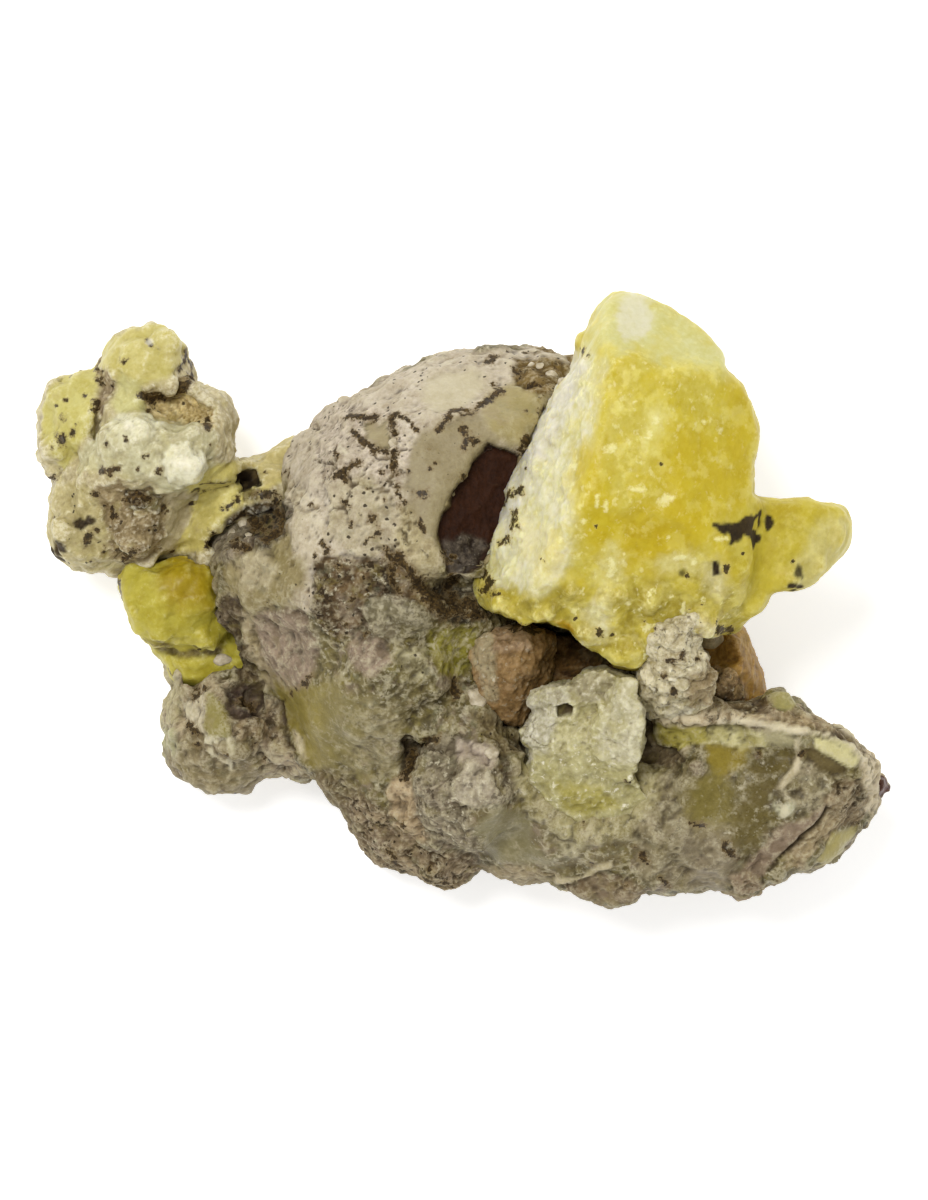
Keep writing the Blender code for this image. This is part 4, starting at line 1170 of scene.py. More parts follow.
@dataclass
class Mineral:
    """One mineral of the specimen: its fine skin, its shapes and its colours."""

    node: str = ""
    name: str = ""
    slot: str = ""
    voxel: float = 0.24
    even: int = 6
    swell: float = 0.3
    finish: MineralFinish | None = None
    hue: Hue | None = None
    relief: Relief = field(default_factory=Relief)
    patches: tuple[Patch, ...] = ()
    blocks: tuple[Block, ...] = ()
    trims: tuple[Trim, ...] = (Trim(), DRAWN_IN)

    def solid(self) -> bmesh.types.BMesh:
        """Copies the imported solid, trims it to the outline and adds the blocks.

        Returns:
            The closed shells that make up the rough shape.
        """
        bm = bmesh.new()
        bm.from_mesh(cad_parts[self.node].data)
        bmesh.ops.remove_doubles(bm, verts=bm.verts[:], dist=0.001 * MM)
        whole = finished_mesh(bm, "rough")
        for trim in self.trims:
            whole = trim.cut(whole)
        bm = bmesh.new()
        bm.from_mesh(whole)
        bpy.data.meshes.remove(whole)
        for block in self.blocks:
            block.add(bm)
        return bm

    def fine_skin(self) -> bpy.types.Object:
        """Gives the rough solid a fine even skin.

        Returns:
            The new object, at the origin.
        """
        mesh = finished_mesh(self.solid(), self.name)
        obj = shown_object(self.name, mesh)
        skin = obj.modifiers.new("Skin", "REMESH")
        skin.mode = "VOXEL"
        skin.voxel_size = self.voxel * MM
        calm = obj.modifiers.new("Calm", "SMOOTH")
        calm.factor = 0.5
        calm.iterations = self.even
        graph = bpy.context.evaluated_depsgraph_get()
        fine = bpy.data.meshes.new_from_object(obj.evaluated_get(graph))
        obj.modifiers.clear()
        obj.data = fine
        bpy.data.meshes.remove(mesh)
        fine.name = self.name
        return obj

    def refine(self, obj: bpy.types.Object) -> None:
        """Changes the plain skin before it is sculpted. Most minerals need nothing here."""

    def carve(self, skin: Skin) -> None:
        """Adds the shapes that only this mineral has. Most have none."""

    def build(self) -> bpy.types.Object:
        """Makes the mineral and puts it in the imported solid's place.

        Returns:
            The finished object.
        """
        obj = self.fine_skin()
        self.refine(obj)
        skin = Skin(obj)
        skin.swell(self.swell)
        self.carve(skin)
        skin.sculpt(self.relief, self.patches)
        skin.paint(self.hue, self.patches)
        skin.marks[MarkKind.STAIN] = skin.marked(DARK_MARKS)
        # Pale marks: pale crystals, and painted glints
        skin.marks[MarkKind.PALE_AND_GLINT] = skin.marked(PALE_MARKS)
        skin.write_attributes()
        obj.data.shade_smooth()
        obj.data.materials.clear()
        obj.data.materials.append(self.finish.material())
        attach(obj, "root")
        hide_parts(self.node)
        log.info("%s: %d faces", obj.name, len(obj.data.polygons))
        return obj


@dataclass
class HewnMineral(Mineral):
    """A mineral whose faces run through chosen spots."""

    rim: Spots = ()
    inner: Spots = ()
    foot: float = 15.0
    flare: float = 0.4

    def solid(self) -> bmesh.types.BMesh:
        """Makes the rough shape out of the spots alone."""
        bm = bmesh.new()
        Block(self.rim, self.inner, self.foot, self.flare).add(bm)
        return bm


@dataclass(frozen=True)
class Floor:
    """A sloping floor, outlined as seen from above, that a surface is cut down or filled up to."""

    outline: Outline
    middle: tuple[float, float]
    height: float
    slope: tuple[float, float]
    fills: bool = False

    def lay(self, skin: Skin) -> None:
        """Cuts what lies above the floor inside the outline, or fills what lies below it.

        Args:
            skin: The mesh to change.
        """
        x, y = on_plan(self.middle)[0]
        points = skin.points
        floor = self.height + (points[:, 0] - x) * self.slope[0] + (points[:, 1] - y) * self.slope[1]
        patch = Patch(self.outline, rim=Rim.CLEAN, up=-0.2)
        cover = patch.cover(points, seen(points), skin.normals[:, 2])
        wanted = np.maximum(points[:, 2], floor) if self.fills else np.minimum(points[:, 2], floor)
        points[:, 2] += (wanted - points[:, 2]) * cover
        skin.write_points()


def marks(size: float, *routes: Outline) -> tuple[Stroke, ...]:
    """Draws marks of one half width, in picture pixels, each along a route of its own."""
    return tuple(Stroke(route, size) for route in routes)


def dots(size: float, *places: float) -> tuple[Stroke, ...]:
    """Draws dots of one half width, in picture pixels, each at the x and y of its place."""
    return tuple(Stroke(spot, size) for spot in zip(places[::2], places[1::2]))


# Dark chromite grains and stains, from the shell's edge down to the foot
DARK_MARKS = (
    *marks(2.5, (440,430, 445,423, 452,413, 464,412, 471,415, 480,409, 491,401, 497,394), (348,422, 358,420,
        367,421, 377,418), (392,420, 396,438), (497,391, 504,394), (486,362, 495,361), (539,413, 547,410),
        (397,488, 400,499), (354,434, 364,442, 374,452, 388,453), (359,464, 348,470, 335,477), (386,549,
        392,560, 392,580, 400,592), (330,552, 326,542)), 
    *dots(2.5, 493,384, 552,404, 382,473, 316,507, 352,524, 461,476, 442,553, 340,566, 363,578, 352,598),
    *marks(3.4, (462,431, 468,437, 473,441), (464,447, 468,440), (521,449, 526,439), (395,454, 394,468),
        (400,556, 408,568, 416,580), (446,588, 456,577)), 
    *dots(3.4, 404,504, 373,519, 450,560, 378,534),
    *marks(4.8, (418,586, 432,602, 446,612, 470,606, 478,614)),
    *dots(4.8, 424,494, 452,598),
    *marks(1.8, (340,476, 347,481), (334,451, 339,458), (418,433, 408,421, 396,416), (512,372, 520,380),
        (528,390, 540,388), (344,500, 350,506), (420,520, 424,532)), 
    *dots(1.8, 507,350, 522,356, 526,413, 413,492, 368,489, 429,450, 436,463, 398,474, 409,472, 322,543,
        318,556, 300,440, 294,451, 317,424, 556,370, 534,376, 430,470, 386,500, 366,540), 
    # The left cluster and its neck
    *marks(3.7, (143,394, 150,399, 163,394, 178,386, 188,385), (130,499, 138,495, 150,499), (126,554,
        133,551), (61,438, 62,442), (252,519, 262,528), (276,502, 284,514, 285,526), (268,539, 278,531),
        (262,497, 272,494)), 
    *dots(3.7, 163,506, 54,478, 268,520),
    *marks(2.4, (183,352, 186,362, 178,370), (100,374, 102,384), (97,404, 93,411), (209,419, 205,430),
        (103,471, 119,468), (112,505, 113,517), (90,534, 86,543), (200,488, 222,483), (191,495, 190,502),
        (244,512, 236,520), (119,586, 118,600), (226,508, 238,500), (213,533, 207,546), (236,548, 250,550)),
        
    *dots(2.4, 123,361, 64,434, 74,431, 64,418, 148,410, 159,468, 144,457, 108,445, 97,493, 104,548, 97,530,
        170,550, 293,451, 290,476, 118,548), 
    *marks(1.5, (146,343, 151,347)),
    *dots(1.5, 71,379, 67,401, 77,424, 138,470, 209,445, 57,520, 90,558, 266,473, 113,474, 86,398, 58,406,
        128,440), 
    # The yellow crystal, its skirt and its wing
    *marks(3.5, (520,515, 520,527), (488,573, 497,584, 492,592), (526,630, 540,628), (507,624, 516,630),
        (718,622, 727,628)), 
    *dots(3.5, 599,632),
    *marks(2.2, (518,498, 527,489), (507,545, 513,539), (725,564, 726,571), (586,348, 589,355)),
    *dots(2.2, 612,634, 655,628, 687,574, 500,597),
    *dots(1.3, 530,453, 539,446, 530,472, 596,526, 661,464, 690,608, 701,605, 742,553, 792,562, 576,618,
        546,560, 644,622), 
    # The foot, the bottom and the tapering end
    *marks(3.0, (198,689, 198,697), (192,725, 196,731), (413,752, 410,766, 405,777), (424,742, 436,738),
        (440,884, 452,884), (452,679, 455,696), (732,855, 724,843), (240,700, 252,706)), 
    *dots(3.0, 207,691, 187,709, 198,744, 250,787, 669,660, 682,653, 674,690, 802,753, 758,754, 642,855,
        306,684), 
    *marks(2.0, (690,824, 704,826), (660,878, 668,884), (388,850, 396,858)),
    *dots(2.0, 198,647, 175,674, 230,751, 222,789, 656,628, 664,676, 698,660, 628,782, 650,862, 592,862,
        583,824, 627,884, 636,845, 350,858, 470,876, 404,826, 340,636, 346,624, 366,634, 312,676, 296,690,
        778,878, 372,828, 430,868, 266,756, 280,770, 256,742), 
)

# Pale crystals, white rims from rubbing, and painted glints on the yellow crystal
PALE_MARKS = (
    *marks(3.6, (606,450, 614,447), (632,490, 642,489), (660,502, 672,498), (176,462, 186,462), (612,560,
        611,572), (690,712, 668,714), (192,712, 186,706), (487,776, 486,782)), 
    *dots(3.6, 576,467, 655,420, 650,436, 130,427, 352,551),
    *marks(2.2, (600,606, 598,616), (598,496, 597,506), (606,500, 605,510), (676,556, 684,556), (716,539,
        724,539), (148,345, 154,342), (208,736, 231,737), (212,744, 213,754), (230,758, 230,764), (724,832,
        731,832), (779,802, 785,808, 783,814), (478,786, 480,796), (340,448, 346,454), (440,366, 452,362)), 
    *dots(2.2, 634,402, 558,500, 540,470, 562,540, 548,430, 572,400, 592,384, 526,536, 624,552, 694,560,
        702,422, 720,430, 641,664, 616,640, 176,470, 758,810, 763,762, 741,788, 730,846, 470,772, 464,802,
        408,662, 418,656, 398,670, 332,506, 584,520, 628,603, 668,536, 320,470), 
)

# The host rock

CREAM_RIND = Hue(0xD1C6B1, 0xA19177, 0.75, 0.3, veins=0.3, gaps=0.25, flecks=0.3, mixed=0.1)
PALE_SHELL = Hue(0xCAC0A3, 0xB3A787, 0.5, 0.1, mixed=0.0)
OLIVE_SHELL = Hue(0xA29675, 0x867857, 0.45, 0.12, gaps=0.1, mixed=0.05, wear_and_highlight=0.15)
BEIGE_RIND = Hue(0x988B61, 0x786942, 0.7, 0.2, veins=0.4, gaps=0.15, mixed=0.3)
CRACKED_RIND = Hue(0xD9CBB6, 0x7F7059, 0.8, 0.3, veins=0.3, gaps=0.75, flecks=0.3, mixed=0.1)
GRANULAR_ROCK = Hue(0x6B5537, 0x1E1205, 0.85, 0.4, veins=0.4, gaps=1.0, flecks=0.8, mixed=0.6)
PEBBLY_ROCK = Hue(0x826A39, 0x413010, 0.8, 0.3, gaps=0.7, flecks=0.3, mixed=0.1)
MAUVE_ROCK = Hue(0x9B8772, 0x6D5D48, 0.6, 0.1, veins=0.6, gaps=0.25, flecks=0.4, mixed=0.3)
OLIVE_WAX = Hue(0x8E803F, 0x706229, 0.42, veins=0.2, flecks=0.1, mixed=0.15)
SLOPE_ROCK = Hue(0x766A3F, 0x3C3315, 0.55, 0.1, veins=0.9, gaps=0.5, flecks=0.6, mixed=0.9)
GREEN_CRYSTAL = Hue(0x786F53, 0x544B32, 0.45, veins=0.9, gaps=0.1, flecks=0.5, mixed=0.3)
MOSS_CRYSTAL = Hue(0x999139, 0x68601A, 0.45, 0.05, veins=0.8, gaps=0.4, flecks=0.6)
BROWN_CRUST = Hue(0x9D8A6A, 0x473620, 0.85, 0.3, gaps=0.9, flecks=0.3)
TAN_CRUST = Hue(0xC0AA86, 0x826C4B, 0.8, 0.1, gaps=0.5, mixed=0.1)
GREY_KNOBS = Hue(0x93876D, 0x463A25, 0.75, 0.1, veins=0.4, gaps=0.8, flecks=0.9, mixed=0.5)
GREEN_GLASS = Hue(0x7E714C, 0x534729, 0.34, 0.05, veins=1.0, gaps=0.3, flecks=0.5, mixed=0.7)
CREAM_RIDGE = Hue(0xDECEAC, 0x8C7856, 0.75, 0.1, gaps=0.7, flecks=0.4, mixed=0.1)
BROWN_LEDGE = Hue(0x978463, 0x47371F, 0.85, 0.2, veins=0.3, gaps=0.9, flecks=0.3, mixed=0.1)
FOOT_ROCK = Hue(0xAF9E7D, 0x5C4D32, 0.65, 0.1, veins=0.8, gaps=0.8, flecks=0.5, mixed=0.5)
DARK_GAP = Hue(0x4D4532, 0x160E05, 0.9, 0.2, gaps=0.8, flecks=0.2, mixed=0.1)
RED_GRAIN = Hue(0x5C2E22, 0x36140E, 0.4, mixed=0.0, wear_and_highlight=0.3)

SMOOTH = Relief(lumps=(4.0, 0.2), chips=(3.0, 0.3), grain=(1.1, 0.02), seed=3)
RIND = Relief(lumps=(3.0, 0.5), chips=(2.2, 0.45), pits=(1.3, 0.28), grain=(0.6, 0.09), seed=4)
CRACKED = Relief(lumps=(3.2, 0.3), chips=(2.2, 0.5), cracks=(2.7, 0.45), grain=(0.6, 0.1), seed=5)
GRANULAR = Relief(lumps=(2.6, 0.4), crystals=(1.6, 0.8), ridges=(1.8, 0.2), grain=(0.5, 0.12), seed=6)
CRYSTALLINE = Relief(
    lumps=(3.0, 0.4), ridges=(2.0, 0.22), crystals=(2.1, 0.7), chips=(3.4, 0.4), grain=(0.6, 0.08), seed=7,
)
COARSE_CRYSTAL = Relief(
    lumps=(3.2, 0.4), crystals=(2.8, 0.9), ridges=(1.6, 0.12), grain=(0.6, 0.07), seed=8,
)
KNOBBLY = Relief(lumps=(3.0, 0.4), cobbles=(2.0, 0.5), crystals=(1.3, 0.5), grain=(0.5, 0.1), seed=9)
GLASSY = Relief(lumps=(3.0, 0.25), chips=(3.2, 0.35), grain=(0.8, 0.03), contrast=0.8, seed=13)
FLOWING = Relief(lumps=(3.0, 0.35), ridges=(2.4, 0.3), chips=(2.8, 0.3), grain=(0.7, 0.06), seed=10)
CRUMBLY = Relief(lumps=(2.6, 0.45), crystals=(1.6, 0.7), cracks=(2.4, 0.35), grain=(0.5, 0.12), seed=11)

# The opening in the shell, and what it lays bare
WINDOW = (
    487,441, 520,452, 519,466, 516,479, 501,529, 494,545, 481,568, 468,574, 454,576, 445,573, 443,556,
    436,529, 440,514, 449,505, 451,489, 457,482, 467,477, 469,463,
)
WINDOW_FLOOR = Floor(WINDOW, (460, 538), 30.2, (-0.19, -0.055))
HOLLOW = Floor(
    (546,636, 580,640, 616,660, 616,672, 590,676, 574,690, 544,704), (556, 680), 20.5, (-0.55, -0.3),
    fills=True,
)
DARK_CHROMITE = Hue(0x381F11, 0x241107, mixed=0.0, wear_and_highlight=0.25)
CHROMITE_GRAIN = Relief(lumps=(3.0, 0.12), chips=(1.6, 0.22), grain=(0.45, 0.06), seed=74)
WINDOW_PATCHES = (
    Patch(WINDOW, DARK_CHROMITE, CHROMITE_GRAIN, Rim.CLEAN),
    Patch((442,541, 462,536, 484,541, 478,566, 468,574, 454,576, 445,573), Hue(0x5F5549, 0x2A221B, 0.55,
        gaps=0.6, flecks=0.2, mixed=0.0, wear_and_highlight=0.4), GRANULAR), 
)

ROCK_PATCHES = (
    # The dome's rind and the smooth shell beside the dark window
    Patch((285,450, 318,403, 365,390, 400,368, 470,348, 540,348, 580,357, 560,400, 530,450, 480,560,
        420,570, 330,610, 240,600, 225,545, 262,535, 290,500), CREAM_RIND, RIND, step=0.1), 
    Patch((225,545, 262,530, 290,480, 310,500, 318,540, 300,600, 245,620, 222,590), BEIGE_RIND, RIND,
        Rim.FADED), 
    Patch((292,484, 318,500, 330,540, 318,566, 296,556, 286,520), Hue(0xD6CBB2, 0xA09072, 0.7, 0.15,
        gaps=0.4, mixed=0.1), CRACKED, Rim.SOFT, step=0.3), 
    Patch((236,560, 262,552, 280,570, 270,592, 246,590), Hue(0xBEB290, 0x948664, 0.7, 0.1, gaps=0.3), None,
        Rim.SOFT, step=0.2), 
    Patch((428,378, 476,372, 486,392, 470,408, 440,418, 424,405), PALE_SHELL, SMOOTH, Rim.SOFT),
    Patch((488,392, 520,382, 560,400, 556,425, 530,452, 488,436, 480,418), Hue(0xA89A6A, 0x96885A, 0.4,
        0.06), SMOOTH, Rim.SOFT), 
    Patch((440,420, 478,412, 490,432, 520,452, 500,500, 470,556, 446,566, 412,520, 402,492, 402,460,
        418,438), OLIVE_SHELL, SMOOTH, Rim.SOFT), 
    Patch((392,506, 412,500, 440,560, 440,584, 418,580, 388,540), Hue(0xBAAC84, 0x746440, 0.65, 0.2,
        gaps=0.6, mixed=0.2), CRACKED, Rim.SOFT), 
    Patch((318,420, 345,405, 392,412, 412,440, 408,480, 380,500, 340,505, 316,470), CRACKED_RIND, CRACKED),
    Patch((366,424, 388,420, 392,446, 380,452, 366,442), Hue(0xA19470, 0x8C7E5C, 0.6, 0.05), SMOOTH,
        Rim.RAGGED, step=-0.15), 
    Patch((512,360, 545,358, 578,362, 566,392, 540,398, 514,388), PEBBLY_ROCK, KNOBBLY, Rim.FIRM),
    Patch((330,480, 372,476, 400,505, 395,545, 360,560, 330,540), Hue(0xCABEA1, 0x8B7C5E, 0.7, 0.4),
        CRACKED), 
    Patch((312,562, 338,555, 378,560, 392,544, 408,560, 424,584, 446,590, 440,622, 400,600, 369,598,
        362,625, 340,645, 316,620), GRANULAR_ROCK, GRANULAR, Rim.FIRM), 
    Patch((424,586, 448,580, 484,590, 484,618, 456,625, 434,616), DARK_GAP, GRANULAR, Rim.FIRM),
    # The slope below the dome
    Patch((253,612, 300,606, 322,640, 316,676, 300,694, 276,690, 258,656), MAUVE_ROCK, FLOWING),
    Patch((264,664, 290,690, 315,682, 345,683, 336,765, 316,774, 298,750, 282,727), OLIVE_WAX, SMOOTH,
        Rim.FADED, step=0.05), 
    Patch((360,606, 372,598, 396,596, 414,602, 432,618, 426,632, 400,640, 374,632), GREEN_CRYSTAL,
        COARSE_CRYSTAL, step=0.3), 
    Patch((346,700, 400,700, 410,760, 392,784, 352,776, 340,740), Hue(0x968A62, 0x625632, 0.5, veins=0.5,
        gaps=0.3, flecks=0.4, mixed=0.6), COARSE_CRYSTAL, Rim.FADED), 
    Patch((300,772, 330,768, 360,790, 380,812, 364,836, 340,806, 316,790), Hue(0x847452, 0x44341C, 0.8, 0.1,
        veins=0.2, gaps=0.6, flecks=0.2), CRUMBLY, Rim.SOFT), 
    Patch((350,630, 386,638, 394,664, 372,676, 350,660), MAUVE_ROCK, CRYSTALLINE),
    Patch((428,628, 476,626, 480,650, 462,676, 440,676, 426,652), MOSS_CRYSTAL, COARSE_CRYSTAL),
    Patch((392,650, 424,646, 430,676, 400,682), Hue(0xB2A980, 0x675D3D, 0.5, 0.3), GRANULAR, Rim.FIRM),
    Patch((400,738, 416,733, 434,736, 424,750, 414,776, 400,778, 404,756), Hue(0x4E4129, 0x1B1107, 0.9,
        0.3), None, Rim.FIRM, step=-0.5), 
    Patch((386,790, 394,776, 412,776, 422,800, 426,838, 404,836, 390,812), TAN_CRUST, KNOBBLY, Rim.FIRM),
    Patch((344,796, 372,800, 398,820, 424,846, 474,852, 484,880, 446,892, 366,868, 348,830), BROWN_CRUST,
        CRUMBLY), 
    Patch((417,742, 440,735, 480,742, 520,756, 524,800, 500,806, 480,830, 478,855, 440,846, 416,812,
        412,778), GREY_KNOBS, KNOBBLY), 
    Patch((460,742, 486,740, 500,752, 492,772, 470,772, 456,760), Hue(0xB9A996, 0x887966, gaps=0.2,
        mixed=0.2), KNOBBLY, Rim.FIRM, step=0.2), 
    Patch((470,762, 492,772, 500,800, 480,812, 456,800, 458,776), Hue(0xBBAF97, 0x766951, gaps=0.6,
        flecks=0.9, mixed=0.2), GRANULAR), 
    Patch((500,750, 514,748, 522,768, 508,780, 498,768), Hue(0x605036, 0x2C2010, 0.9), None, Rim.FIRM,
        step=-0.3), 
    # The foot, and the crevice over it, where painted shadow darkens the rock
    Patch((150,640, 225,680, 262,686, 280,700, 284,726, 300,760, 304,784, 250,800, 180,800, 150,760),
        FOOT_ROCK, KNOBBLY), 
    Patch((186,730, 240,738, 262,760, 254,790, 190,794, 168,764), Hue(0x978965, 0x675937, 0.55, 0.1,
        gaps=0.3, flecks=0.3), CRYSTALLINE), 
    Patch((156,728, 176,730, 180,752, 170,764, 156,756), Hue(0xB6B28C, 0x969068, 0.5, flecks=0.3),
        GRANULAR), 
    Patch((150,648, 170,654, 180,672, 184,694, 178,724, 164,726), Hue(0xBEB48C, 0x887C54, gaps=0.5,
        flecks=0.4), KNOBBLY, Rim.FIRM), 
    Patch((196,696, 208,693, 207,730, 196,726, 188,716, 189,704), Hue(0xD0C6AA, 0xA49676, gaps=0.3,
        flecks=0.5), GRANULAR, Rim.FIRM, step=0.2), 
    Patch((210,694, 217,698, 223,704, 229,716, 232,728, 231,738, 212,737, 206,724), Hue(0x92894F, 0x7C7036,
        0.4), SMOOTH, Rim.CLEAN, step=0.4), 
    Patch(band((207,739, 231,739, 233,752), 3.5), Hue(0xD4CCAA, 0xB2A882), None, Rim.CRISP, step=0.3),
    Patch(band((208,748, 214,754, 222,758, 230,762, 233,770), 5), Hue(0xD8CEAE, 0xB4A884), None, Rim.CRISP,
        step=0.3), 
    Patch((234,712, 256,716, 280,706, 284,728, 282,744, 240,740, 232,726), Hue(0x8E7A5A, 0x3E301A, 0.85,
        gaps=0.8, flecks=0.3), GRANULAR), 
    Patch(band((282,700, 284,722, 290,744, 300,757), 5), Hue(0x4E3C1E, 0x221608, 0.9, wear_and_highlight=0.1), None,
        Rim.CRISP, step=-0.4), 
    Patch((292,730, 300,730, 306,744, 306,758, 296,752), Hue(0xC6B896, 0x968864, 0.7, gaps=0.3), KNOBBLY,
        Rim.FIRM, step=0.2), 
    # Painted shadow in the crevice between the foot and the main body
    Patch((222,688, 236,684, 264,682, 266,700, 258,716, 236,722, 228,708), Hue(0x5C4A3C, 0x1A0E06, 0.8,
        gaps=0.5, flecks=0.1, wear_and_highlight=0.4), GRANULAR, Rim.FIRM, step=-0.6), 
    Patch((262,500, 290,500, 298,516, 292,534, 272,548, 248,552, 230,562, 216,550, 240,535, 254,522),
        Hue(0x544632, 0x1A1006, 0.85, gaps=0.6, flecks=0.3, wear_and_highlight=0.4), GRANULAR, step=0.2), 
    # Painted shadow down the side of the crevice, between the foot and the main body
    Patch((222,592, 240,598, 246,616, 244,640, 262,650, 258,684, 236,684, 222,630), Hue(0x605034, 0x201408,
        0.85, 0.3, gaps=0.5, wear_and_highlight=0.5), GRANULAR, Rim.FIRM), 
    Patch(band((246,610, 252,640, 264,664, 270,690), 10), Hue(0xB0A07E, 0x847454, 0.7, gaps=0.2)),
    Patch((206,548, 224,530, 246,518, 258,524, 252,542, 230,560, 208,562), Hue(0x8E826C, 0x483C2A, 0.85,
        gaps=0.6, flecks=0.3, wear_and_highlight=0.5), GRANULAR, step=0.3), 
    Patch((252,530, 272,506, 290,508, 292,526, 282,534, 266,542, 254,544), Hue(0x20160A, 0x0E0802, 0.9,
        wear_and_highlight=0.0), None, Rim.FIRM, step=-0.5),
    Patch((330,684, 356,688, 362,716, 350,756, 334,768, 322,740), Hue(0x8A7E4C, 0x6C6032, 0.45, veins=0.4,
        flecks=0.3, mixed=0.2), SMOOTH, Rim.HAZY, strength=0.75), 
    # The lower edge, from the green glass to the brown lobe
    Patch((466,806, 560,800, 632,816, 640,850, 612,866, 560,870, 500,864, 480,846), GREEN_GLASS, GLASSY),
    Patch((473,828, 500,806, 533,815, 530,838, 556,866, 498,860), Hue(0x887F5A, 0x706744, 0.36, veins=0.3,
        flecks=0.2, mixed=0.1), GLASSY), 
    Patch((552,826, 580,828, 590,838, 574,856, 560,852, 546,838), Hue(0xB2A884, 0x807654, 0.5, veins=0.6,
        flecks=0.7), CRYSTALLINE), 
    Patch((478,862, 531,864, 560,874, 540,886, 500,884), Hue(0xA49574, 0x7C6C4C, 0.7, 0.1, gaps=0.2),
        CRUMBLY), 
    Patch((560,876, 600,872, 640,880, 646,896, 600,912, 566,892), Hue(0x89785B, 0x5D4B32, 0.75, 0.1,
        gaps=0.4), CRUMBLY), 
    Patch(band((556,875, 572,877, 584,875, 598,866, 610,862), 5), Hue(0xC8BA96, 0xA0926C), None, Rim.CRISP,
        step=0.3), 
    # The tapering end: green glass between a cream ridge and a brown ledge
    Patch((640,770, 700,770, 733,796, 736,822, 733,888, 690,892, 640,880, 632,830), Hue(0x908464, 0x685C3E,
        0.6, 0.1, veins=0.4, gaps=0.4, flecks=0.3, mixed=0.3), CRYSTALLINE, Rim.SOFT), 
    Patch((686,826, 734,824, 742,860, 728,890, 690,886, 676,856), Hue(0x8F8266, 0x70644A, 0.5, 0.05,
        gaps=0.2, flecks=0.2, mixed=0.2), FLOWING, Rim.SOFT), 
    Patch((690,776, 712,768, 734,778, 740,800, 734,824, 700,828, 684,812), Hue(0x86793E, 0x6A5E28, 0.36,
        flecks=0.25, mixed=0.1), GLASSY, Rim.HAZY), 
    Patch((704,742, 755,744, 748,766, 727,776, 712,770), Hue(0x968534, 0x7C6B20, 0.34, mixed=0.1), GLASSY,
        Rim.SOFT, step=0.15), 
    Patch((752,752, 794,744, 798,758, 772,806, 780,818, 757,852, 740,850, 728,840, 734,820, 732,796),
        Hue(0x6E6133, 0x544821, 0.3, veins=0.1, flecks=0.4, mixed=0.1), GLASSY, Rim.HAZY), 
    Patch((706,726, 764,728, 770,746, 744,750, 706,742), Hue(0xCAC28E, 0xA69C62, 0.45, flecks=0.6,
        mixed=0.2), COARSE_CRYSTAL), 
    Patch((760,725, 796,728, 794,744, 772,747), Hue(0xB4AB84, 0x948B66, 0.45), GLASSY),
    Patch((796,756, 834,774, 846,776, 862,790, 850,806, 826,806, 800,820, 786,806, 776,790, 790,776),
        Hue(0xA59978, 0x584C2F, 0.45, veins=0.9, gaps=0.5, flecks=0.7), CRYSTALLINE), 
    Patch((802,749, 814,750, 828,756, 846,767, 846,775, 834,778, 820,770, 806,760), Hue(0x70623A, 0x504220,
        0.4, mixed=0.1, wear_and_highlight=0.2), SMOOTH, Rim.CRISP, step=-0.3), 
    Patch(band((797,738, 799,756, 796,768, 786,780, 778,790), 4.5), Hue(0xCCBE9E, 0xAA9C7A), None,
        Rim.CRISP, step=0.2), 
    Patch((770,796, 780,806, 790,802, 795,810, 783,818, 774,810), Hue(0xCECAAC, 0xACA888, 0.4), None,
        Rim.CRISP, step=0.3), 
    Patch((832,782, 864,776, 868,812, 858,828, 836,826, 822,818), BROWN_LEDGE, CRUMBLY),
    # The ledge: a smooth brown strip, a broken crack and a rougher strip below it
    Patch((739,872, 781,821, 826,808, 822,816, 789,846, 763,876, 744,880), Hue(0x948069, 0x72604A,
        mixed=0.1), FLOWING, Rim.FIRM, step=0.35), 
    Patch((826,812, 838,812, 836,832, 800,862, 784,872, 772,872, 789,848), Hue(0xB09E79, 0x7F6D4B, 0.75,
        0.1, gaps=0.4, flecks=0.3), CRUMBLY, Rim.FIRM, step=0.15), 
    Patch(band((828,808, 818,820, 806,830, 798,838, 789,847, 779,858, 769,872), 4.5), Hue(0x4A3C24,
        0x22180A, 0.9, mixed=0.0, wear_and_highlight=0.0), None, Rim.CRISP, step=-0.45, strength=0.9), 
    Patch((730,874, 744,868, 760,874, 764,888, 750,898, 734,892), Hue(0x9E8A70, 0x705E46, 0.75, 0.1,
        gaps=0.3), CRUMBLY, Rim.FIRM, step=0.2), 
    Patch((816,860, 832,832, 856,824, 858,838, 844,853, 828,864), Hue(0xAA9E62, 0x8E8248, 0.42, mixed=0.1),
        SMOOTH, Rim.CRISP), 
    # The cream ridge along the top of the end, under a rosy crust
    Patch(band((664,712, 704,712, 760,714, 800,722, 836,730, 860,744, 874,762, 880,784, 874,810), 18),
        CREAM_RIDGE, CRUMBLY, Rim.FIRM), 
    Patch((772,706, 800,712, 830,724, 850,736, 856,744, 820,732, 790,726, 770,716), Hue(0xA89470, 0x5C4A2E,
        0.8, 0.1, gaps=0.7), GRANULAR, Rim.FIRM), 
    Patch(band((670,716, 700,719, 722,719, 750,722, 772,726, 794,730, 816,733, 834,738, 850,747, 860,758,
        869,771, 871,790, 868,808), 6), Hue(0xE8DEC0, 0xC4B694, gaps=0.15), None, Rim.CRISP, step=0.35), 
    Patch((858,760, 872,764, 878,790, 874,812, 862,818, 862,790), Hue(0xDED0B2, 0xB2A280, 0.7, gaps=0.3),
        CRUMBLY, Rim.FIRM, step=0.1), 
    Patch((812,736, 832,740, 848,748, 858,762, 850,768, 828,756, 814,746), Hue(0xD6CE9A, 0xB8AE76, 0.5,
        mixed=0.1), SMOOTH, Rim.CRISP, step=0.1), 
    Patch(band((810,729, 832,735, 852,742, 864,752), 3.5), Hue(0x604E32, 0x3C2E1A, 0.8, wear_and_highlight=0.1), None,
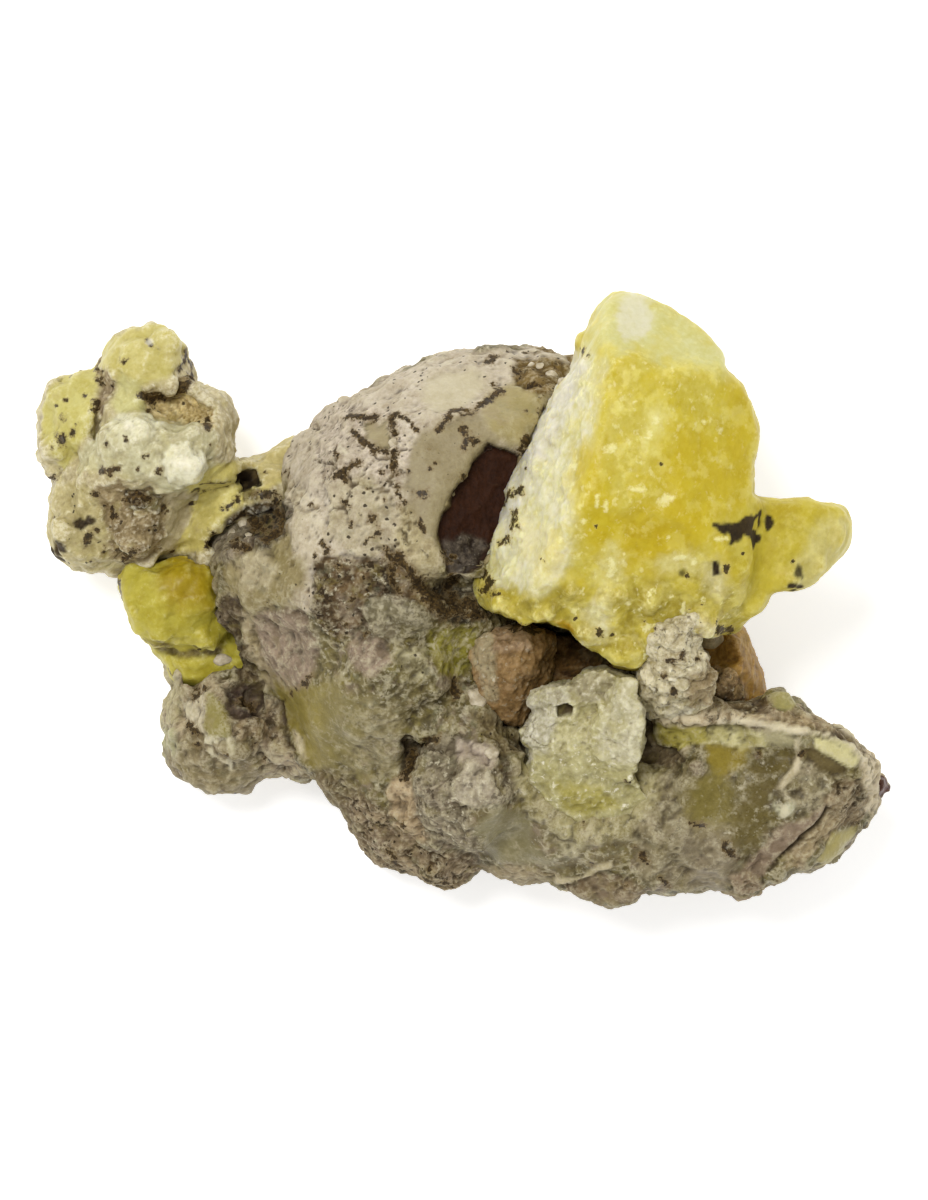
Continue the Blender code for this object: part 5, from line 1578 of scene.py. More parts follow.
        Rim.CRISP, step=-0.25), 
    Patch(oval(687, 750, 6, 9), Hue(0xAC9E80, 0x807254), None, Rim.CRISP, step=0.5),
    Patch(oval(697, 769, 7.5, 8.5), Hue(0x88785E, 0x544630, 0.55), None, Rim.CLEAN, step=0.45),
    Patch((636,704, 656,706, 660,742, 684,747, 690,764, 656,768, 638,764), Hue(0x7C6C4E, 0x3E301C, 0.85,
        gaps=0.5, flecks=0.2, wear_and_highlight=0.4), GRANULAR, Rim.FIRM), 
    Patch((640,704, 660,708, 660,720, 642,722), Hue(0x362A1A, 0x1A1008, 0.9, wear_and_highlight=0.1), None, Rim.FIRM),
    Patch((658,722, 676,720, 706,724, 708,744, 690,747, 666,744, 656,734), Hue(0xB0A554, 0x8C8034, 0.42,
        flecks=0.3, mixed=0.2), COARSE_CRYSTAL), 
    Patch(band((528,752, 530,780, 552,808, 584,826, 620,822, 640,792, 646,768), 34), Hue(0xACA274, 0x807446,
        0.55, veins=0.4, gaps=0.4, flecks=0.6), KNOBBLY, Rim.SOFT, step=0.5), 
    Patch((652,700, 690,704, 724,700, 740,716, 700,724, 664,724), CREAM_RIDGE, CRUMBLY, step=0.5),
    Patch((546,630, 620,634, 618,672, 590,694, 550,706), Hue(0x7A5A2C, 0x3E260D, 0.9, wear_and_highlight=0.3), GRANULAR,
        Rim.FIRM), 
    Patch((470,712, 530,712, 540,740, 524,756, 480,744), Hue(0x8C7D58, 0x45361E, 0.8, 0.3), GRANULAR),
    Patch((700,640, 770,640, 772,712, 716,712), Hue(0x705D3B, 0x271B0C, 0.9, 0.3), GRANULAR, Rim.FIRM),
    Patch(oval(783, 700, 13, 12), Hue(0xA59C61, 0x857D49, 0.4), SMOOTH, Rim.CLEAN),
    Patch((880,774, 892,774, 892,800, 878,798, 877,784), RED_GRAIN, SMOOTH, Rim.CLEAN, up=0.1),
    *WINDOW_PATCHES,
)


@dataclass
class HostRock(Mineral):
    """The host rock, finer on top than underneath, where nobody sees it."""

    under_up: float = -0.15
    under_height: float = 2.0

    def refine(self, obj: bpy.types.Object) -> None:
        """Splits every face that can be seen from above into four."""
        bm = bmesh.new()
        bm.from_mesh(obj.data)
        bm.normal_update()
        low = self.under_height * MM
        shown = [f for f in bm.faces if f.normal.z > self.under_up and f.calc_center_median().z > low]
        edges = list({edge for face in shown for edge in face.edges})
        bmesh.ops.subdivide_edges(bm, edges=edges, cuts=1, use_grid_fill=True)
        bmesh.ops.triangulate(bm, faces=[f for f in bm.faces if len(f.verts) > 4])
        bm.to_mesh(obj.data)
        bm.free()

    def carve(self, skin: Skin) -> None:
        """Opens the shell over the chromite, and fills the back of the deep hollow."""
        WINDOW_FLOOR.lay(skin)
        HOLLOW.lay(skin)


HOST_ROCK = HostRock(
    node="host_rock", name="rind_and_matrix", slot="tan_rock", voxel=0.69, even=2, swell=0.1,
    finish=MineralFinish("rind_and_matrix", edge=0xC2B89A, gap_and_hollow_shade=0x342816, pale_and_glint=0xCEC5A8, vein=0xBAB090,
        edge_share=0.45, hollow_shade_share=0.75, mottle=0.95, fine=0.34, variety=0.8, speck_spacing=1.0,
        grain_height=0.06, glow=0.12, glow_scale=1.2, strays=(Stray(0x968470, 3.2, 0.6, 0.52, 21),
        Stray(0x7E7236, 2.4, 0.7, 0.52, 22), Stray(0x7C7A5E, 1.7, 0.6, 0.54, 23))),
    hue=SLOPE_ROCK, relief=CRYSTALLINE, patches=ROCK_PATCHES,
    blocks=(
        Block((254,742,15.5, 270,730,16.5, 288,738,17, 300,752,18, 308,772,17, 304,781,13.5, 288,772,11.5,
            276,769,11, 266,771,11.5, 256,766,13.5), (272,748,16.8, 286,756,16.4, 268,760,14.8), foot=1.0,
            flare=0.5), 
        Block((156,652,12, 170,654,13, 180,668,13.4, 182,690,13, 186,706,13, 172,712,11.5, 167,700,10.5,
            171,688,11, 167,674,10.5, 168,664,10.5), (174,680,13.2), foot=5.0), 
        Block((656,714,25, 664,708,26.4, 690,706,27, 712,712,27.2, 714,732,25.6, 706,747,25.2, 690,748,24.4,
            674,746,23.8, 660,742,23.8, 656,728,24.4), (672,720,27, 692,721,27.3, 700,736,26.4,
            676,736,25.2), foot=14.0), 
        Block((634,706,22, 666,706,22, 668,744,22.4, 692,746,23, 694,768,24.6, 676,778,25.2, 650,778,24.2,
            634,766,22.4), foot=14.0), 
        Block((872,777,15, 882,776,15.6, 887,781,15.4, 887,790,15, 882,795,14.6, 874,796,14.4),
            (882,786,17), foot=13.4), 
        Block((206,556,14, 212,540,15, 226,526,16.4, 244,517,16.8, 262,510,17.2, 274,510,19, 270,528,22,
            256,540,21, 238,552,20, 222,564,19), (240,534,16.6, 254,526,16.4, 226,544,16.2), foot=5.0), 
        Block((350,812,12, 364,824,13, 380,850,12, 378,862,9, 371,856,8, 357,834,8, 350,822,9), foot=1.0), 
    ),
)

# The big yellow crystal

YELLOW_WAX = Hue(0xCBBD59, 0xBCA92E, 0.46, flecks=0.45, mixed=0.7)
GRANULAR_FACE = Relief(lumps=(2.4, 0.25), crystals=(1.7, 0.5), chips=(2.6, 0.3), grain=(0.5, 0.07), seed=14)
WAXY = Relief(
    lumps=(2.6, 0.2), crystals=(1.9, 0.2), chips=(3.2, 0.2), grain=(0.6, 0.05), contrast=0.7, seed=15,
)
CRUSTY = Relief(lumps=(2.2, 0.3), crystals=(1.2, 0.6), cracks=(2.0, 0.2), grain=(0.4, 0.1), seed=26)
WAXY_CAP = Relief(lumps=(3.0, 0.08), grain=(0.8, 0.02), contrast=0.7, seed=16)
SKIRT = Relief(lumps=(3.0, 0.2), crystals=(2.8, 0.5), ridges=(1.8, 0.1), grain=(0.5, 0.06), seed=17)

DARK_STAIN = Hue(0x3F3118, 0x201607, 0.8, mixed=0.0, wear_and_highlight=0.1)
YELLOW_PATCHES = (
    Patch((552,392, 520,450, 490,540, 478,566, 472,590, 500,600, 520,560, 530,500, 556,440), None, None,
        Rim.SOFT, step=0.45), 
    # The wing, the skirt and the granular left face, which fade into the body
    Patch((740,500, 780,495, 820,501, 848,515, 855,530, 846,547, 800,585, 730,625, 716,590), Hue(0xC2B240,
        0xAE9B27, 0.5, mixed=0.3), WAXY, Rim.HAZY), 
    Patch((545,625, 560,596, 600,585, 716,572, 745,590, 738,625, 640,668, 600,652, 575,634), Hue(0xBFB050,
        0x988624, 0.48, veins=0.3, flecks=0.8, mixed=0.5), SKIRT, Rim.HAZY), 
    Patch((586,345, 604,362, 594,440, 568,556, 552,600, 520,606, 490,600, 470,580, 480,530, 520,440),
        Hue(0xDFDABD, 0xC8C186, 0.5, veins=0.2, flecks=0.7, mixed=0.35), GRANULAR_FACE, Rim.HAZY), 
    Patch((570,352, 586,352, 580,400, 512,530, 500,520, 520,452, 548,406), Hue(0xD8D3C2, 0xC2BB96, 0.55,
        0.1, flecks=0.5, mixed=0.0), None, Rim.FADED), 
    Patch((480,570, 500,588, 540,596, 566,580, 580,600, 560,628, 530,618, 498,616, 476,600), Hue(0xB9A948,
        0x8D7D27, 0.48, gaps=0.3, flecks=0.3), SKIRT, Rim.FADED), 
    Patch(oval(545, 552, 22, 30, 10), Hue(0xE1D9B0, 0xD0C68B, 0.45, flecks=0.3), None, Rim.FADED),
    # The cap, paler towards its rim
    Patch((590,350, 598,297, 620,290, 650,294, 728,352, 730,374, 680,366, 640,352, 612,356), Hue(0xCFCB92,
        0xC1B967, 0.42, flecks=0.2, mixed=0.3), WAXY_CAP, Rim.HAZY), 
    Patch(oval(634, 318, 19, 25), Hue(0xD9D4B8, 0xCCC699, 0.45, mixed=0.0), None, Rim.SOFT),
    # Deeper yellow inside, partly painted shade on the right side that turns from the light, and the paler
    # streaks over it
    Patch(oval(648, 540, 50, 30, 4), Hue(0xC1A80C, 0xB59A03, 0.42, flecks=0.3), None, Rim.FAINT,
        strength=0.8), 
    Patch(oval(596, 500, 20, 60, 12), Hue(0xC7B321, 0xBBA30C, 0.44, flecks=0.4), None, Rim.HAZY,
        strength=0.8), 
    Patch(oval(696, 480, 44, 56), Hue(0xC6B123, 0xBBA212, 0.42, flecks=0.2), None, Rim.FAINT, strength=0.8),
    Patch(oval(740, 436, 18, 74), Hue(0xC2AC2A, 0xB39C18, 0.44, flecks=0.1), None, Rim.HAZY, strength=0.8),
    Patch(band((662,408, 656,430, 646,452), 18), Hue(0xDFD68B, 0xD0C35A, 0.44), None, Rim.FADED,
        strength=0.8), 
    # Pale spots on the skirt's lumps: painted highlights
    Patch(oval(680, 560, 24, 12, 10), Hue(0xD9CE8B, 0xBDAE53, 0.5), None, Rim.FADED),
    Patch(oval(612, 562, 13, 22, -10), Hue(0xDFD69D, 0xC3B665, 0.48, flecks=0.5), None, Rim.FADED),
    Patch(oval(598, 618, 13, 24), Hue(0xDFD7A9, 0xBFB471, 0.5, 0.1, flecks=0.5), None, Rim.FADED),
    Patch(oval(716, 575, 12, 22), Hue(0xD6CB94, 0xB3A761, 0.5, 0.1), None, Rim.FADED),
    # The wing's pale side and its stained cream crust
    Patch((806,545, 818,520, 846,514, 855,530, 842,552, 812,584, 794,592, 790,572), Hue(0xD0C57E, 0xB9AB5B,
        0.48, mixed=0.2), WAXY, Rim.FADED), 
    # The cream crust that climbs onto the skirt from the column
    Patch((656,640, 664,622, 704,612, 716,626, 718,650, 700,668, 664,672, 648,662), Hue(0xCEC2A0, 0x968862,
        0.7, 0.3, gaps=0.6, flecks=0.5), CRUSTY, Rim.SOFT, step=0.3), 
    Patch(oval(560, 628, 14, 9), Hue(0xC4A016, 0xAA8408, 0.4), None, Rim.CRISP),
    Patch((711,525, 716,520, 736,524, 746,516, 757,517, 758,528, 750,537, 741,534, 738,543, 729,545,
        725,535, 716,533), DARK_STAIN, None, Rim.RAGGED), 
    Patch(oval(768, 524, 5, 7, -20), DARK_STAIN, None, Rim.RAGGED),
    Patch(oval(755, 537, 7, 6, 30), DARK_STAIN, None, Rim.RAGGED),
    Patch(oval(797, 574, 5, 6), DARK_STAIN, None, Rim.RAGGED, strength=0.9),
    Patch(oval(791, 584, 6, 5), DARK_STAIN, None, Rim.RAGGED),
    Patch((712,559, 718,559, 720,572, 713,574), DARK_STAIN, None, Rim.CLEAN),
    Patch(oval(682, 572, 4, 4), DARK_STAIN, None, Rim.CRISP, strength=0.8),
)


@dataclass
class YellowCrystal(Mineral):
    """The big yellow crystal, with fine upright ribs where it has grown in layers."""

    rib_spacing: float = 1.3
    rib_height: float = 0.04
    rib_lean: float = 0.18

    def carve(self, skin: Skin) -> None:
        """Raises the ribs that run down the front of the crystal."""
        x, y, z = skin.rest.T
        bend = waves(skin.rest, 4.0, 91) * 1.3
        phase = (x + self.rib_lean * (y + z) + bend) / self.rib_spacing
        rise = waves(np.stack([phase * 1.3, y * 0.09, z * 0.09], axis=-1), 1.0, 92)
        skin.points += skin.normals * (rise * self.rib_height)[:, None]
        skin.write_points()


SKIRT_EDGE = (
    440,260, 900,260, 900,660, 760,660, 720,700, 650,700, 640,676, 613,667, 609,659, 601,655, 596,649,
    588,648, 583,640, 576,637, 571,628, 563,624, 556,625, 548,619, 540,623, 532,620, 524,625, 515,617,
    507,617, 500,609, 492,612, 484,604, 476,606, 466,600, 440,590,
)
MAIN_BRUCITE = YellowCrystal(
    node="main_brucite", name="yellow_crystal", slot="yellow_brucite", voxel=0.22, even=22, swell=0.2,
    finish=MineralFinish("yellow_crystal", edge=0xF0EABA, gap_and_hollow_shade=0xA89228, edge_share=0.3, hollow_shade_share=0.35,
        pale_and_glint=0xF0EAB0, vein=0xEAE2A0, halo=0xBEAA5A, mottle=1.5, fine=0.42, grain_height=0.04, glow=0.6,
        glow_reach=(1.0, 0.85, 0.25), glow_scale=1.8, shine=0.2, fibre=(1.0, 0.75, 0.9),
        fibre_turn=(0, 0, -8), fleck_spacing=0.9, strays=(Stray(0xE8DE84, 2.6, 0.6, 0.5, 31),
        Stray(0xCAB624, 3.4, 0.6, 0.5, 32))),
    hue=YELLOW_WAX, relief=WAXY, patches=YELLOW_PATCHES, trims=(Trim(), Trim(SKIRT_EDGE)),
)

# The pale cluster on the left

CREAM_WAX = Hue(0xC8BC94, 0x9E8F64, 0.5, 0.1, veins=0.2, gaps=0.2, flecks=0.3, mixed=0.5)
LUMPY_WAX = Relief(
    lumps=(2.6, 0.4), crystals=(2.0, 0.8), chips=(2.6, 0.5), ridges=(1.8, 0.1), grain=(0.5, 0.07), seed=24,
)
SOFT_WAX = Relief(
    lumps=(2.6, 0.3), crystals=(2.2, 0.45), chips=(2.4, 0.35), grain=(0.6, 0.05), contrast=0.8, seed=25,
)

LEFT_PATCHES = (
    Patch((40,395, 60,376, 98,366, 101,380, 97,405, 80,455, 66,470, 46,440), Hue(0xC8BF75, 0xB7AB58, 0.4),
        SOFT_WAX), 
    Patch((101,368, 108,340, 130,328, 160,323, 180,333, 188,350, 180,364, 158,382, 140,388), Hue(0xCABF7B,
        0xB7AA5B, 0.4), SOFT_WAX), 
    Patch((97,372, 110,369, 118,382, 113,400, 105,414, 96,408, 100,390), Hue(0xAD9C7B, 0x6F5D41, 0.8, 0.4),
        CRUSTY, Rim.FIRM), 
    Patch((122,372, 142,380, 144,400, 150,414, 124,420, 112,410), Hue(0xCEC88E, 0xB8B070, 0.4), SOFT_WAX,
        Rim.SOFT), 
    Patch((143,390, 160,396, 186,386, 212,412, 212,430, 195,436, 160,428, 146,412), Hue(0xE9D499, 0x957F4A,
        0.85, 0.4), CRUSTY, Rim.FIRM), 
    Patch((140,384, 165,393, 184,376, 192,388, 172,403, 150,402), Hue(0x958359, 0x483721, 0.9, 0.5), None,
        Rim.FIRM), 
    Patch((112,426, 145,418, 214,432, 216,460, 200,485, 182,494, 120,472, 84,468, 82,450), Hue(0xC6C099,
        0xAAA077, 0.36, 0.05), LUMPY_WAX), 
    Patch(oval(184, 463, 20, 17), Hue(0xE4E0C4, 0xD0CAA8, 0.3), step=0.35),
    Patch(oval(132, 428, 24, 13, -10), Hue(0xDAD5B4, 0xC2BB96, 0.3), step=0.2),
    Patch((50,510, 58,488, 85,478, 110,500, 110,556, 95,568, 60,566, 46,540), Hue(0xBCAF7E, 0x9A8C59, 0.45,
        0.25), LUMPY_WAX), 
    Patch((95,484, 120,478, 130,490, 166,496, 170,520, 162,548, 132,562, 108,556, 104,520), Hue(0xA5936C,
        0x6D5B3A, 0.8, 0.3), CRUSTY, Rim.FIRM), 
    Patch((126,490, 150,486, 166,500, 160,510, 130,508), Hue(0x584C36, 0x2A1E11, 0.9), None, Rim.FIRM),
    Patch((164,498, 190,488, 192,515, 174,548, 162,545), Hue(0xBCAF8A, 0x9A8C66, 0.45), SOFT_WAX, Rim.FIRM),
    Patch((188,482, 214,460, 236,462, 300,430, 304,452, 286,482, 262,497, 240,505, 225,520, 206,548,
        184,552, 176,548, 190,515), Hue(0xDDD181, 0xC5B762, 0.38), SOFT_WAX), 
    Patch((236,466, 300,430, 304,452, 286,482, 266,492, 244,486), Hue(0xC6B87C, 0xAC9D60, 0.45), None,
        Rim.FADED), 
    Patch((194,512, 210,504, 220,516, 206,544, 190,542), Hue(0xC2B56C, 0xA89A50, 0.42), None, Rim.FADED),
    Patch((231,474, 255,470, 264,487, 238,495), Hue(0x281C0C, 0x120903, 0.9, wear_and_highlight=0.0), None, Rim.CLEAN,
        step=-0.25), 
    Patch((240,492, 262,490, 258,500, 244,502), Hue(0x736533, 0x50421E, 0.7), None, Rim.CLEAN),
    Patch((226,518, 246,506, 270,500, 292,506, 292,530, 270,546, 236,548, 224,534), Hue(0x52442F, 0x190F05,
        0.9), CRUSTY, Rim.FIRM), 
    Patch((254,530, 274,506, 290,508, 292,526, 282,534, 266,542), Hue(0x2E2212, 0x120A03, 0.9, wear_and_highlight=0.0),
        None, Rim.FIRM), 
    Patch((72,522, 80,518, 86,521, 90,515, 97,519, 94,523, 88,524, 82,530, 75,528), DARK_STAIN, None,
        Rim.CLEAN), 
    Patch((58,537, 63,538, 69,550, 60,550), DARK_STAIN, None, Rim.CLEAN),
)

LEFT_BRUCITE = Mineral(
    node="left_brucite", name="pale_cluster", slot="pale_brucite", voxel=0.22, even=5, swell=0.15,
    finish=MineralFinish("pale_cluster", edge=0xEEE8D0, gap_and_hollow_shade=0x685632, edge_share=0.4, hollow_shade_share=0.6,
        mottle=1.1, fine=0.36, variety=1.25, grain_height=0.05, glow=0.4, glow_reach=(1.0, 0.9, 0.5),
        glow_scale=1.5, coat=0.05, strays=(Stray(0xCEC47E, 2.6, 0.5, 0.52, 41), Stray(0xB2A080, 1.8, 0.5,
        0.56, 42))),
    hue=CREAM_WAX, relief=LUMPY_WAX, patches=LEFT_PATCHES,
)

# The olive-yellow fan below the neck

KNOB_PATCHES = (
    Patch(oval(188, 580, 28, 30, 10), Hue(0xAC961E, 0x947C0E, 0.4), None, Rim.HAZY),
    Patch(band((140,640, 160,648, 180,654, 202,652, 222,648), 9), Hue(0x908252, 0x4C3E20, 0.8, gaps=0.5,
        flecks=0.3), CRUSTY, step=-0.25), 
)


@dataclass
class Fan(Mineral):
    """The knob: layers that open like a fan from its upper end, with fine steps across them."""

    hub: tuple[float, float] = (196, 556)
    ray_height: float = 0.16
    ring_spacing: float = 0.9
    ring_height: float = 0.1

    def carve(self, skin: Skin) -> None:
        """Raises the fan's rays and the rings across them."""
        hub_x, hub_y = on_plan(self.hub)[0]
        x, y, z = skin.rest.T
        reach = np.hypot(x - hub_x, y - hub_y) + 0.6 * (16 - z)
        angle = np.arctan2(y - hub_y, x - hub_x)
        rays = waves(np.stack([np.cos(angle) * 4, np.sin(angle) * 4, reach * 0.06], axis=-1), 1.0, 95)
        rings = waves(np.stack([reach / self.ring_spacing, angle * 0.8, angle * 0], axis=-1), 1.0, 96)
        rise = rays * self.ray_height + rings * self.ring_height
        skin.points += skin.normals * rise[:, None]
        skin.write_points()


BRUCITE_KNOB = Fan(
    node="brucite_knob", name="olive_fan", slot="olive_brucite", voxel=0.2, even=6, swell=0.15,
    finish=MineralFinish("olive_fan", edge=0xE2DCA0, gap_and_hollow_shade=0x78661C, edge_share=0.3, hollow_shade_share=0.45,
        pale_and_glint=0xE2DCA0, vein=0xD6CE82, mottle=1.2, fine=0.4, grain_height=0.03, glow=0.5,
        glow_reach=(1.0, 0.88, 0.3), glow_scale=1.6, coat=0.06, strays=(Stray(0xB0A028, 2.4, 0.5, 0.52, 51),
        Stray(0xD0C876, 1.9, 0.4, 0.55, 52))),
    hue=Hue(0xBDB24A, 0xA7992E, 0.46, flecks=0.2, mixed=0.5), relief=SOFT_WAX, patches=KNOB_PATCHES,
)

# The pale green blade, the cream column, the brown calcites and the dark chromite

BLADE_FACES = Relief(
    lumps=(2.6, 0.2), crystals=(1.3, 0.45), chips=(2.0, 0.35), ridges=(1.5, 0.16), grain=(0.45, 0.1),
    seed=34,
)
BLADE_FOOT = Relief(lumps=(2.2, 0.35), chips=(1.8, 0.35), ridges=(1.4, 0.16), grain=(0.5, 0.09), seed=35)
PALE_BLADE = HewnMineral(
    node="pale_brucite_blade", name="pale_blade", slot="green_brucite", voxel=0.16, even=2, swell=0.0,
    rim=(529,700,29.4, 538,691,30, 556,687,30.2, 574,686,30.6, 586,674,31, 605,671,31.6, 619,677,32,
        633,681,32.6, 638,703,33, 642,717,32.9, 641,741,32, 637,763,30.4, 631,776,29, 642,790,26.4,
        650,802,25.6, 620,820,25.4, 584,824,25.2, 562,812,25.6, 544,798,26, 530,781,26, 532,759,28,
        531,748,28.8, 523,741,28.4, 523,731,28.8, 531,723,29, 535,712,29),
    inner=(546,700,31, 542,732,30.2, 556,720,30.4, 556,704,30.4, 574,704,30.8, 572,720,30.2, 590,690,31.4,
        600,700,31.2, 560,724,29.4, 580,724,29.7, 584,744,29.3, 566,750,29, 613,684,31.2, 604,697,30.5,
        593,712,30.1, 586,735,29.7, 618,696,33, 606,716,32.2, 598,740,31, 600,765,29, 628,705,33.4,
        630,740,32.4, 618,730,32.4, 622,758,30.6, 612,785,27.6, 582,775,28.2, 556,770,28.2, 585,800,26.8,
        548,752,28.8),
    finish=MineralFinish("pale_blade", edge=0xDCD6BE, gap_and_hollow_shade=0x5C4E2E, edge_share=0.5, hollow_shade_share=0.6,
        mottle=0.9, fine=0.33, grain_height=0.045, glow=0.3, glow_reach=(0.9, 1.0, 0.5), glow_scale=1.4,
        coat=0.03, strays=(Stray(0xAAA054, 2.0, 0.6, 0.5, 61), Stray(0xA09C7E, 1.5, 0.5, 0.54, 62))),
    hue=Hue(0xC4BC8E, 0x9C9262, 0.46, 0.05, veins=0.3, gaps=0.2, flecks=0.5), relief=BLADE_FACES,
    patches=(
        Patch((523,690, 566,686, 574,702, 556,722, 548,752, 526,764, 518,730), Hue(0xCBC5AD, 0x9D9475, 0.55,
            0.1, gaps=0.2, flecks=0.5), CRUSTY), 
        Patch((566,690, 586,674, 605,671, 616,680, 594,708, 576,706), Hue(0xB2A886, 0x8A805E, 0.55, 0.1,
            gaps=0.2), BLADE_FACES), 
        Patch((556,706, 566,704, 573,708, 571,716, 558,716), Hue(0x6B5D44, 0x362919, 0.9, wear_and_highlight=0.0), None,
            Rim.CLEAN, step=-1.3), 
        Patch((614,684, 634,682, 642,714, 640,744, 634,764, 606,768, 596,738), Hue(0xCEC7A8, 0xAAA17A, 0.42,
            flecks=0.4), BLADE_FACES), 
        Patch((530,756, 600,756, 640,770, 652,804, 600,826, 556,814, 528,786), Hue(0xBEB686, 0x988F5C, 0.42,
            0.05, gaps=0.2, flecks=0.9), BLADE_FOOT, Rim.FADED), 
        Patch((556,782, 600,790, 620,806, 586,818, 560,808), Hue(0xACA158, 0x8C813A, 0.42, flecks=0.3),
            None, Rim.SOFT), 
    ),
)
CREAM_COLUMN = HewnMineral(
    node="cream_brucite_column", name="cream_column", slot="cream_brucite", voxel=0.16, even=2, swell=0.0,
    rim=(645,655,33.6, 650,634,36.4, 660,624,37.2, 676,620,37.4, 686,613,37.4, 703,617,36.8, 702,634,35.6,
        698,647,34.8, 706,661,34, 713,674,33, 711,690,31.4, 708,704,29.4, 696,712,28, 670,717,27.2,
        652,716,27, 650,703,29.4, 641,697,30.6, 638,682,31.4, 643,667,32.2),
    inner=(668,638,37.4, 688,632,37.6, 658,648,36.4, 660,665,35.2, 680,658,36.6, 697,668,35.4, 652,680,33.4,
        666,690,33.6, 686,688,34.2, 660,704,30.6, 690,702,31.4),
    finish=MineralFinish("cream_column", edge=0xD6CEB4, gap_and_hollow_shade=0x463822, edge_share=0.45, hollow_shade_share=0.75,
        mottle=0.8, fine=0.3, speck_spacing=0.9, grain_height=0.05, glow=0.2, glow_scale=1.2,
        strays=(Stray(0xA69C5C, 1.8, 0.5, 0.52, 66),)),
    hue=Hue(0xDDD3B2, 0x9D8F68, 0.6, 0.2, gaps=0.7, flecks=0.6), relief=Relief(lumps=(2.2, 0.3),
    crystals=(1.3, 0.8), cobbles=(1.5, 0.35), grain=(0.4, 0.09), seed=44),
    patches=(
        Patch((690,672, 716,668, 718,710, 684,708), Hue(0xAA9874, 0x746240, 0.7, gaps=0.5)),
    ),
)
CALCITE_GRAIN = HewnMineral(
    node="calcite_grain", name="brown_calcite_grain", slot="brown_calcite", voxel=0.18, even=3, swell=0.0,
    foot=12.0, flare=0.2,
    rim=(468,652,25.8, 474,636,25.2, 490,628,25.4, 527,628,26, 542,630,25.6, 556,636,23, 553,661,21.8,
        548,686,21.8, 534,706,22.4, 526,722,22.4, 508,722,24.4, 488,712,25.2, 479,690,25.8, 472,668,26.2),
    inner=(492,645,27.6, 522,642,28.2, 542,648,26.6, 500,666,27.8, 520,666,28, 538,672,25.8, 508,690,26.8,
        526,692,25, 494,684,26.8),
    finish=MineralFinish("brown_calcite_grain", edge=0xB09670, gap_and_hollow_shade=0x342410, edge_share=0.4,
        hollow_shade_share=0.6, mottle=1.4, fine=0.3, grain_height=0.045, glow=0.2, glow_reach=(1.0, 0.6, 0.3),
        glow_scale=1.0, strays=(Stray(0xB09470, 2.0, 0.5, 0.52, 68), Stray(0x5C4420, 1.6, 0.5, 0.55, 69))),
    hue=Hue(0x96784C, 0x6A502C, 0.6, 0.05, gaps=0.3, flecks=0.25, mixed=0.8),
    relief=Relief(lumps=(2.6, 0.2), crystals=(1.6, 0.3), chips=(2.4, 0.4), ridges=(1.4, 0.16),
    grain=(0.5, 0.12), seed=54),
    patches=(
        Patch((472,632, 496,634, 496,702, 484,700, 474,666), Hue(0xAC9E7C, 0x827252, 0.65, 0.1, gaps=0.3,
            flecks=0.4), CRUSTY), 
        Patch((494,630, 528,628, 530,648, 510,652, 494,650), Hue(0xA88E6E, 0x7C6446, 0.65, gaps=0.3,
            flecks=0.3)), 
    ),
)
CALCITE_SPLINTER = HewnMineral(
    node="calcite_splinter", name="brown_calcite_splinter", slot="brown_calcite", voxel=0.18, even=3,
    swell=0.0, foot=8.0, flare=0.2,
    rim=(700,634,22, 708,624,22.4, 722,616,21.4, 734,616,20.6, 744,630,20.4, 750,643,20, 755,655,19.4,
        760,667,18.6, 764,682,18, 768,700,17, 748,710,19, 728,708,21, 712,706,22, 704,690,22,
        700,664,21.6, 698,648,21.6),
    inner=(710,636,24, 726,630,22.6, 736,644,23.4, 742,660,23, 750,680,21.2, 714,654,21.4, 722,664,22,
        728,676,24.2, 718,688,23.8, 738,690,23, 728,698,22.8),
    finish=MineralFinish("brown_calcite_splinter", edge=0xCEB080, gap_and_hollow_shade=0x2E1E0E, edge_share=0.4,
        hollow_shade_share=0.6, mottle=1.0, fine=0.3, grain_height=0.04, glow=0.25, glow_reach=(1.0, 0.55, 0.2),
        glow_scale=1.2, strays=(Stray(0x967A3E, 1.8, 0.6, 0.5, 70), Stray(0x42280E, 1.4, 0.6, 0.54, 71))),
    hue=Hue(0xAD8740, 0x73521E, 0.5, 0.05, gaps=0.3, flecks=0.1), relief=Relief(lumps=(2.4, 0.15),
    chips=(1.8, 0.3), grain=(0.5, 0.06), seed=64),
    patches=(
        Patch((712,668, 726,666, 742,678, 744,698, 730,704, 712,698), Hue(0x8E7854, 0x4A3820, 0.85,
            gaps=0.7, flecks=0.4), GRANULAR, Rim.FIRM, step=0.3), 
        Patch((728,616, 742,622, 752,646, 744,656, 732,640), Hue(0xB9964C, 0x806027, 0.5)),
        Patch((699,632, 708,625, 719,629, 721,638, 712,645, 701,643), Hue(0x988E70, 0x786C50, 0.5,
            wear_and_highlight=0.5), SMOOTH, Rim.CLEAN, step=0.5), 
    ),
)


@dataclass
class Chromite(HewnMineral):
    """The dark chromite, laid bare in the shell's opening, with a rim of shell round it."""

    def carve(self, skin: Skin) -> None:
        """Lowers the laid-bare part to the floor of the opening."""
        WINDOW_FLOOR.lay(skin)


